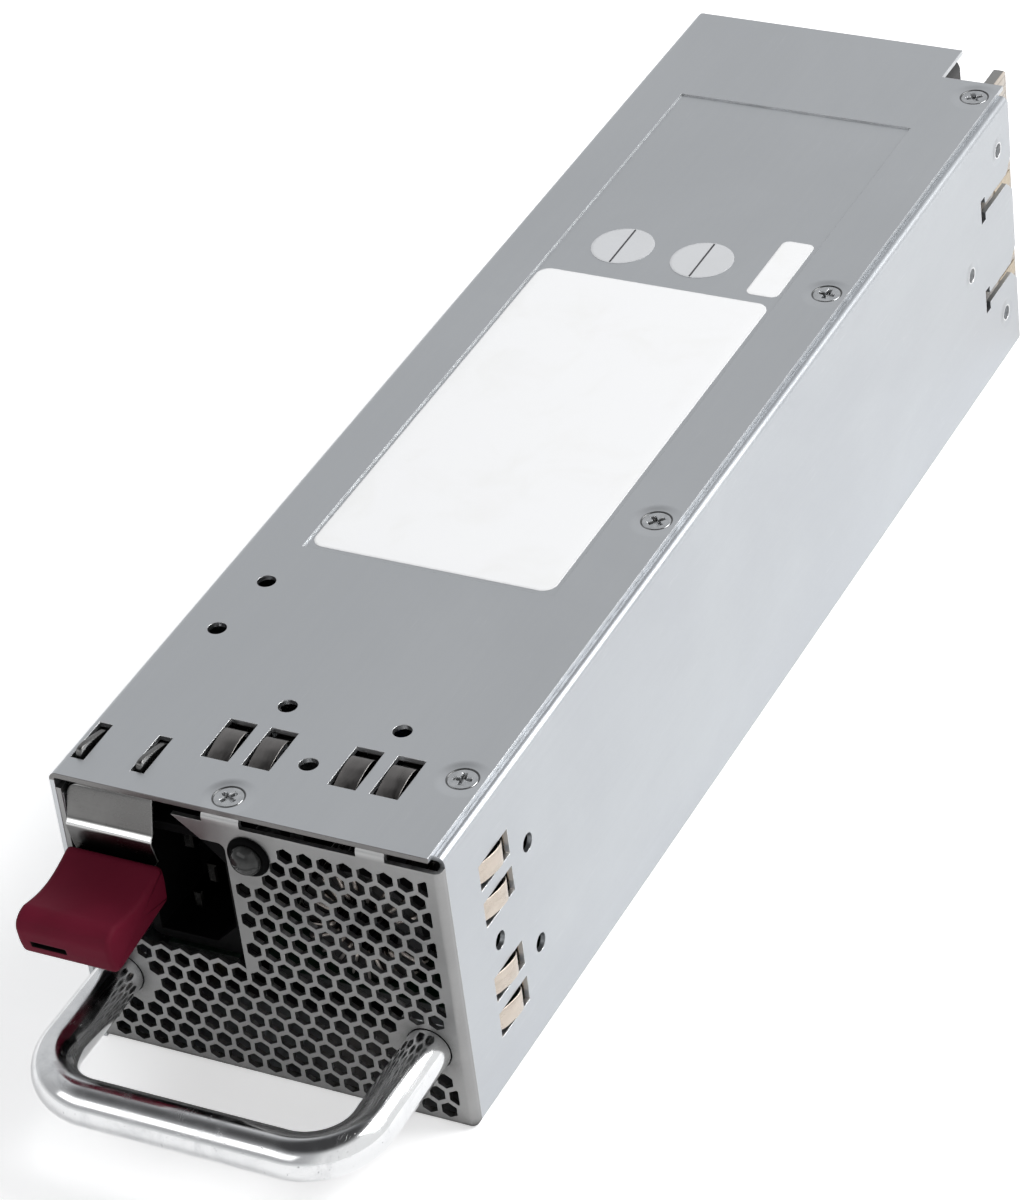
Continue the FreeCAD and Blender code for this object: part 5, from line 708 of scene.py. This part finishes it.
# The cross recess and rim darken at full share: dirt and painted shade.
screw_metal = plain_metal("bright_zinc_screw", (0.46, 0.47, 0.48), (0.60, 0.61, 0.62), 0.22, scale=900.0,
                          width=0.00012, dirt_and_shade_share=1.0)
screws = []
for number, (x, y) in enumerate(screw_places):
    screws.append(cross_head((x, y, 0.06254), (0, 0, 1), 0.5 + 0.9 * number))
    screws.append(shank(0.0014, 0.0030, (x, y, 0.0586), (0, 0, 1)))
piece = lay("lid_cross_screws", screws, screw_metal, sharp=35)
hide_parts("lid_screws")
screws = []
for number, y in enumerate((-0.1096, -0.0046, 0.1004)):
    screws.append(cross_head((-0.03919, y, 0.006), (-1, 0, 0), number, recess=0.0006))
    screws.append(shank(0.0014, 0.0021, (-0.0385, y, 0.006), (1, 0, 0)))
piece = lay("wall_cross_screws", screws, screw_metal, sharp=35)
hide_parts("side_screws")

# Labels
# A large white polyester label lies in the lid's sunk panel, with two round grey
# inspection stickers and a small white one behind it. All of them are left bare.


def oblong(width, length, corner, count=24):
    """Outline of a rectangle with round corners, as offsets from its middle."""
    turn = np.linspace(0, math.pi / 2, count)
    arc = np.stack([np.cos(turn), np.sin(turn)], axis=1) * corner
    inner = np.array([width / 2 - corner, length / 2 - corner])
    parts = []
    for quarter, (sx, sy) in enumerate(((1, 1), (-1, 1), (-1, -1), (1, -1))):
        c, s = math.cos(quarter * math.pi / 2), math.sin(quarter * math.pi / 2)
        parts.append(arc @ np.array([[c, s], [-s, c]]) + inner * (sx, sy))
    return np.concatenate(parts)


def film(ring, centre, level, thick):
    """A thin plate: rings drawn in from an outline to its middle, above and below,
    with the upper rim eased."""
    shares = ((0.0, thick), (0.5, thick), (0.9, thick), (0.99, thick), (0.9985, thick * 0.8),
              (1.0, thick * 0.45), (1.0, 0.0), (0.0, 0.0))
    return np.stack([np.concatenate([ring * share + centre, np.full((len(ring), 1), level + up)], axis=1)
                     for share, up in shares])


def printed_film(name, base, shadow, rough):
    """Coated label stock: an even face that is a little duller and warmer where it was
    handled, with a fine fibre tooth and slightly soiled rims."""
    material, tree, shader = new_finish(name)
    handled = noise(tree, stretched(tree), 70.0, 5.0, 0.6, 0.5)
    fibre = noise(tree, stretched(tree), 5200.0, 2.0, 0.6)
    waves = noise(tree, stretched(tree, (1, 0.5, 1)), 160.0, 2.0, 0.4)
    rims = sums(tree, "MULTIPLY", group_node(tree, worn, Width=0.0006, Breakup=800.0)["Mask"], 0.35)
    colour = blended(tree, span(tree, handled, 0.45, 0.8), base, shadow)
    gloss = sums(tree, "MULTIPLY_ADD", fibre, 0.3, handled)
    feed(shader, Base_Color=blended(tree, rims, colour, [0.72 * c for c in base]),
         Roughness=span(tree, gloss, 0.3, 1.0, rough - 0.06, rough + 0.08),
         Normal=bumped(tree, sums(tree, "MULTIPLY_ADD", waves, 6.0, fibre), 0.25, 0.00001))
    return material


white_film = printed_film("white_label_film", (0.93, 0.933, 0.937), (0.90, 0.90, 0.893), 0.34)
grey_film = printed_film("grey_sticker_film", (0.63, 0.64, 0.655), (0.60, 0.61, 0.62), 0.36)
rule_ink = printed_film("sticker_rule_ink", (0.05, 0.05, 0.055), (0.08, 0.08, 0.085), 0.5)
panel_floor, sticker_thick = 0.0622, 0.0001
rating_label = film(oblong(0.0511, 0.1016, 0.0028), (-0.0017, -0.0135), panel_floor, 0.00012)
lay("rating_label_bare", [rating_label], white_film)
small_label = film(oblong(0.0070, 0.0205, 0.0016), (0.0203, 0.0502), panel_floor, sticker_thick)
lay("small_label_bare", [small_label], white_film)
around = np.linspace(0, 2 * math.pi, 96, endpoint=False)
circle = np.stack([np.cos(around), np.sin(around)], axis=1) * 0.0066
rule = oblong(0.0004, 0.0128, 0.00015, 6)
sticker_places = ((-0.01445, 0.0492), (0.00355, 0.0488))
stickers = [film(circle, spot, panel_floor, sticker_thick) for spot in sticker_places]
lay("inspection_stickers", stickers, grey_film)
rules = [film(rule, spot, panel_floor + sticker_thick, 0.00003) for spot in sticker_places]
lay("sticker_rules", rules, rule_ink)

# Fan
# A 60 mm axial fan at the rear: a black glass-filled frame whose struts carry the
# motor, and a seven-bladed rotor. Four self-tapping screws hold it.

fan_black = moulded("fan_black", (0.016, 0.016, 0.017), (0.026, 0.026, 0.027), 0.48, grain=2600.0,
                    dust_and_shade_share=0.35)
dress(fan_black, "fan_frame")
fan_centre = np.array((-0.00715, 0.1161, 0.0310))
cup = soft_corners([(0.0, 0.0230), (0.0142, 0.0230), (0.0150, 0.0222), (0.0150, 0.0050), (0.0135, 0.0050),
                    (0.0135, 0.0210), (0.0, 0.0210)], 0.0007, 5)
axle = [(0, 0.0022), (0.00145, 0.0022), (0.00145, 0.0215), (0, 0.0215)]
rotor = [turned(cup, fan_centre, (0, 1, 0), 96), turned(axle, fan_centre, (0, 1, 0), 24)]


def fan_blade(start):
    """A twisted blade: at each radius the chord goes round by the sweep while it
    climbs the axis, with a camber arc across it and a thickness that swells in the
    first third and thins to the rear edge. The tip leads the root a little."""
    hub, tip, sweep, chords, spans = 0.0146, 0.0274, 0.76, 22, 14
    radius = np.linspace(hub, tip, spans)[:, None]
    s = np.concatenate([np.linspace(0, 1, chords), np.linspace(1, 0, chords)[1:-1]])[None, :]
    upper = np.concatenate([np.ones(chords), -np.ones(chords - 2)])[None, :]
    thick = 0.00099 * np.sqrt(s * (1 - s)) * (1.5 - s)
    lead = 0.22 * (radius - hub) / (tip - hub)
    angle = start + lead + sweep * (s - 0.5)
    along = 0.0215 - 0.0145 * s + 0.0016 * np.sin(math.pi * s) + upper * thick * 0.5
    angle = angle + upper * thick * 0.35 / radius
    x, z = radius * np.sin(angle), radius * np.cos(angle)
    return fan_centre + np.stack([x, along + 0 * radius, z], axis=-1)


rotor += [closed_ends(fan_blade(2 * math.pi * number / 7)) for number in range(7)]
piece = lay("fan_impeller", rotor, fan_black, body="fan", sharp=40)
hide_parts("fan_rotor")
screws = []
for number, (x, z) in enumerate(((-0.03215, 0.006), (-0.03215, 0.056), (0.01785, 0.006), (0.01785, 0.056))):
    screws.append(cross_head((x, 0.1426, z), (0, 1, 0), number, radius=0.0032, rim=0.0016, crown=0.0001,
                             recess=0.0009))
    screws.append(shank(0.00155, 0.0265, (x, 0.1147, z), (0, 1, 0)))
piece = lay("fan_cross_screws", screws, screw_metal, sharp=35)
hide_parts("fan_screws")

# Boards
# The main board is green glass-fibre laminate with traces under solder mask, and the
# upright output board is beige. Its rear edge carries gold contacts.


def laminate(name, dark, light, rim, along, across, through):
    """Printed circuit board: bands of trace relief under the mask, in bricks whose
    rows run along the current's way."""
    material, tree, shader = new_finish(name, Coat_Weight=0.5, Coat_Roughness=0.2)
    where = coordinates(tree)
    flat = place(tree, "CombineXYZ", X=where[along], Y=where[across]).outputs["Vector"]
    bricks = place(tree, "TexBrick", {"offset": 0.37, "squash": 0.7}, Vector=flat, Scale=160.0,
                   Mortar_Size=0.035, Brick_Width=1.7, Row_Height=0.32).outputs["Fac"]
    drift = noise(tree, stretched(tree), 120.0, 4.0)
    edges = group_node(tree, worn, Width=0.0003, Breakup=700.0)
    colour = blended(tree, span(tree, drift, 0.3, 0.7), dark, light)
    colour = blended(tree, sums(tree, "MULTIPLY", bricks, 0.6), colour, [0.5 * c for c in dark])
    colour = blended(tree, sums(tree, "MULTIPLY", edges["Mask"], 0.4), colour, [1.6 * c for c in light])
    facing = place(tree, "SeparateXYZ", Vector=place(tree, "NewGeometry").outputs["Normal"]).outputs[through]
    feed(shader, Base_Color=blended(tree, span(tree, sums(tree, "ABSOLUTE", facing), 0.8, 0.4), colour, rim),
         Roughness=span(tree, drift, 0.2, 0.8, 0.28, 0.45),
         Normal=bumped(tree, sums(tree, "SUBTRACT", 1.0, bricks), 0.5, 0.00004, Normal=edges["Normal"]))
    return material


# The main board's green is kept very dark and its cut rims near-black: a painted shade for the unlit inside
# of the case.
green_laminate = laminate("main_board_laminate", (0.003, 0.020, 0.008), (0.005, 0.030, 0.012),
                          (0.012, 0.014, 0.010), "Y", "X", "Z")
dress(green_laminate, "main_board")
beige_laminate = laminate("output_board_laminate", (0.36, 0.31, 0.255), (0.46, 0.40, 0.34),
                          (0.16, 0.157, 0.15), "Y", "Z", "X")
(card_left, card_start, card_foot), (card_right, _, _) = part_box("output_board")
end, top, bevel = 0.1388, 0.0613, 0.0008
card_way = rounded_loop([(card_start, card_foot), (end - bevel, card_foot), (end, card_foot + bevel),
                         (end, top - bevel), (end - bevel, top), (card_start, top)], 0.0003, 3)
card = slab(card_way, card_left, card_right, 0.0002, 3)
piece = lay("output_card", [card], beige_laminate)
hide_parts("output_board")
gold = plain_metal("flash_gold", (0.44, 0.365, 0.265), (0.54, 0.46, 0.35), 0.27, scale=700.0, width=0.0001)
dress(gold, "edge_contacts")

# Under the board
# A black polyester film keeps the board off the floor, and four brass posts with
# screws carry it.

black_film, tree, shader = new_finish("insulating_film", Specular_IOR_Level=0.2)
drift = noise(tree, stretched(tree), 80.0, 4.0, 0.6, 0.4)
feed(shader, Roughness=span(tree, drift, 0.2, 0.8, 0.25, 0.42),
     Base_Color=blended(tree, span(tree, drift, 0.3, 0.7), (0.006, 0.006, 0.006), (0.012, 0.012, 0.011)))
dress(black_film, "insulating_film")
brass = plain_metal("turned_brass", (0.60, 0.44, 0.20), (0.76, 0.58, 0.30), 0.28, scale=600.0)
dress(brass, "board_standoffs")
dress(screw_metal, "board_screws", "handle_screws")

# Chokes
# A powder core wound with enamelled copper stands behind the grille, and a larger
# coated ring farther back. Light catches the turns through the honeycomb.

core_black = moulded("coated_core", (0.018, 0.018, 0.019), (0.030, 0.030, 0.031), 0.42, grain=1800.0)
dress(core_black, "choke_core", "boost_choke", "transformer_core")
wire_enamel = plain_metal("wire_enamel", (0.46, 0.40, 0.36), (0.62, 0.56, 0.51), 0.09, scale=400.0,
                          width=0.0001, Coat_Weight=1.0, Coat_Roughness=0.05)


def wire_turn(around, centre):
    """One turn of wire: a round section carried along a rounded oblong loop that
    passes through the ring and over its rim, in the plane of its own angle."""
    inside, outside, half, wire = 0.00690, 0.01260, 0.0056, 0.00055
    loop = rounded_loop([(inside - wire, -half - wire), (outside + wire, -half - wire),
                         (outside + wire, half + wire), (inside - wire, half + wire)], 0.0016, 6)
    ahead = unit(np.roll(loop, -1, axis=0) - np.roll(loop, 1, axis=0))
    side = np.stack([ahead[:, 1], -ahead[:, 0]], axis=1)
    a = np.linspace(0, 2 * math.pi, 10, endpoint=False)
    spot = loop[:, None, :] + wire * np.cos(a)[None, :, None] * side[:, None, :]
    radius, along, off = spot[..., 0], spot[..., 1], wire * np.sin(a)[None, :] + 0 * spot[..., 0]
    c, s = math.cos(around), math.sin(around)
    return centre + np.stack([radius * c - off * s, along, -(radius * s + off * c)], axis=-1)


low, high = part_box("choke_core")
choke_centre = (np.array(low) + np.array(high)) / 2
turns = [wire_turn(math.radians(25 + 310.0 / 19 * k), choke_centre) for k in range(20)]
piece = lay("choke_turns", turns, wire_enamel, loop=True)
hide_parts("choke_winding")

# Power parts
# Extruded heat sinks with their transistors, sleeved capacitors, box capacitors,
# the rectifier and the taped transformer fill the board. The case hides them.

sink_metal = plain_metal("extruded_sink", (0.50, 0.51, 0.52), (0.62, 0.63, 0.64), 0.36, scale=1.0,
                         streak=(1200, 20, 1200))
dress(sink_metal, "primary_heat_sink", "secondary_heat_sink")
package_black = moulded("package_black", (0.014, 0.014, 0.015), (0.022, 0.022, 0.023), 0.5)
dress(package_black, "power_transistors", "bridge_rectifier")
sleeve = moulded("capacitor_sleeve", (0.010, 0.018, 0.060), (0.016, 0.028, 0.085), 0.30, grain=700.0,
                 Coat_Weight=0.4, Coat_Roughness=0.12)
dress(sleeve, "bulk_capacitor", "output_capacitors")
# The box capacitors are given black: a painted shade for the unlit inside of the case.
box_black = moulded("box_capacitor", (0.020, 0.022, 0.026), (0.030, 0.032, 0.038), 0.34, grain=1500.0)
dress(box_black, "filter_capacitors")
tape = moulded("winding_tape", (0.56, 0.44, 0.14), (0.66, 0.54, 0.20), 0.38, grain=900.0, Coat_Weight=0.3)
dress(tape, "transformer_winding")

# Studio
# The camera stands where the photograph was taken from: its direction, turn and
# field of view are solved from the case's edges. The floor is pale and plain.

camera = bpy.data.objects.new("photo_camera", bpy.data.cameras.new("photo_camera"))
bpy.context.scene.collection.objects.link(camera)
sensor, focal_pixels, picture_height = 36.0, 4731.5, 1200.0
camera.data.sensor_width, camera.data.lens = sensor, sensor * focal_pixels / picture_height
camera.data.clip_start, camera.data.clip_end = 0.02, 20.0
turn = Matrix(((0.89351920, -0.18135790, 0.41077091),
               (0.43642805, 0.56592767, -0.69946868),
               (-0.10561245, 0.80426065, 0.58481691)))
camera.matrix_world = Matrix.Translation((0.377053, -0.678670, 0.572602)) @ turn.to_4x4()
bpy.context.scene.camera = camera

floor_mesh = bpy.data.meshes.new("pale_floor")
floor_mesh.from_pydata([(-6, -6, 0), (6, -6, 0), (6, 6, 0), (-6, 6, 0)], [], [(0, 1, 2, 3)])
floor = bpy.data.objects.new("pale_floor", floor_mesh)
bpy.context.scene.collection.objects.link(floor)
paper, tree, shader = new_finish("pale_floor", Roughness=0.9, Specular_IOR_Level=0.1,
                                 Base_Color=(0.97, 0.97, 0.97, 1), Emission_Color=(1, 1, 1, 1))
ray = place(tree, "LightPath").outputs
mirrored = sums(tree, "MAXIMUM", ray["Is Glossy Ray"], ray["Is Transmission Ray"])
feed(shader, Emission_Strength=sums(tree, "MAXIMUM", sums(tree, "MULTIPLY", mirrored, 0.22),
                                    sums(tree, "MULTIPLY", ray["Is Camera Ray"], 0.42)))
floor_mesh.materials.append(paper)

world = bpy.data.worlds.new("soft_room")
bpy.context.scene.world = world
world.use_nodes = True
tree = world.node_tree
way = place(tree, "SeparateXYZ", Vector=place(tree, "TexCoord").outputs["Generated"]).outputs
walls = blended(tree, span(tree, way["Z"], 0.02, 0.22), (0.80, 0.81, 0.82), (0.44, 0.445, 0.455))
walls = blended(tree, span(tree, way["Y"], -0.3, 0.3), walls, (0.66, 0.67, 0.685))
walls = blended(tree, span(tree, way["X"], 0.15, 0.6), walls, (0.92, 0.925, 0.93))
room = blended(tree, span(tree, way["Z"], 0.70, 0.93), walls, (0.05, 0.05, 0.052))
room = blended(tree, place(tree, "LightPath").outputs["Is Camera Ray"], room, (1, 1, 1))
feed(tree.nodes["Background"], Color=room, Strength=1.0)


def soft_box(name, place_at, look_at, size_x, size_y, power):
    """A rectangular lamp that faces a point."""
    data = bpy.data.lights.new(name, "AREA")
    data.shape, data.size, data.size_y, data.energy = "RECTANGLE", size_x, size_y, power
    lamp = bpy.data.objects.new(name, data)
    bpy.context.scene.collection.objects.link(lamp)
    away = unit(np.array(place_at, float) - look_at)
    across = unit(np.cross((0.0, 0.0, 1.0), away))
    facing = Matrix(np.stack([across, np.cross(away, across), away], axis=1).tolist())
    lamp.matrix_world = Matrix.Translation(place_at) @ facing.to_4x4()


soft_box("key_box", (0.79, 0.49, 0.95), (0, 0, 0.03), 0.75, 0.75, 12.5)
soft_box("front_box", (-0.50, -1.02, 0.72), (0, -0.17, 0.02), 1.3, 0.50, 2.6)

bpy.context.scene.view_settings.view_transform = "Standard"
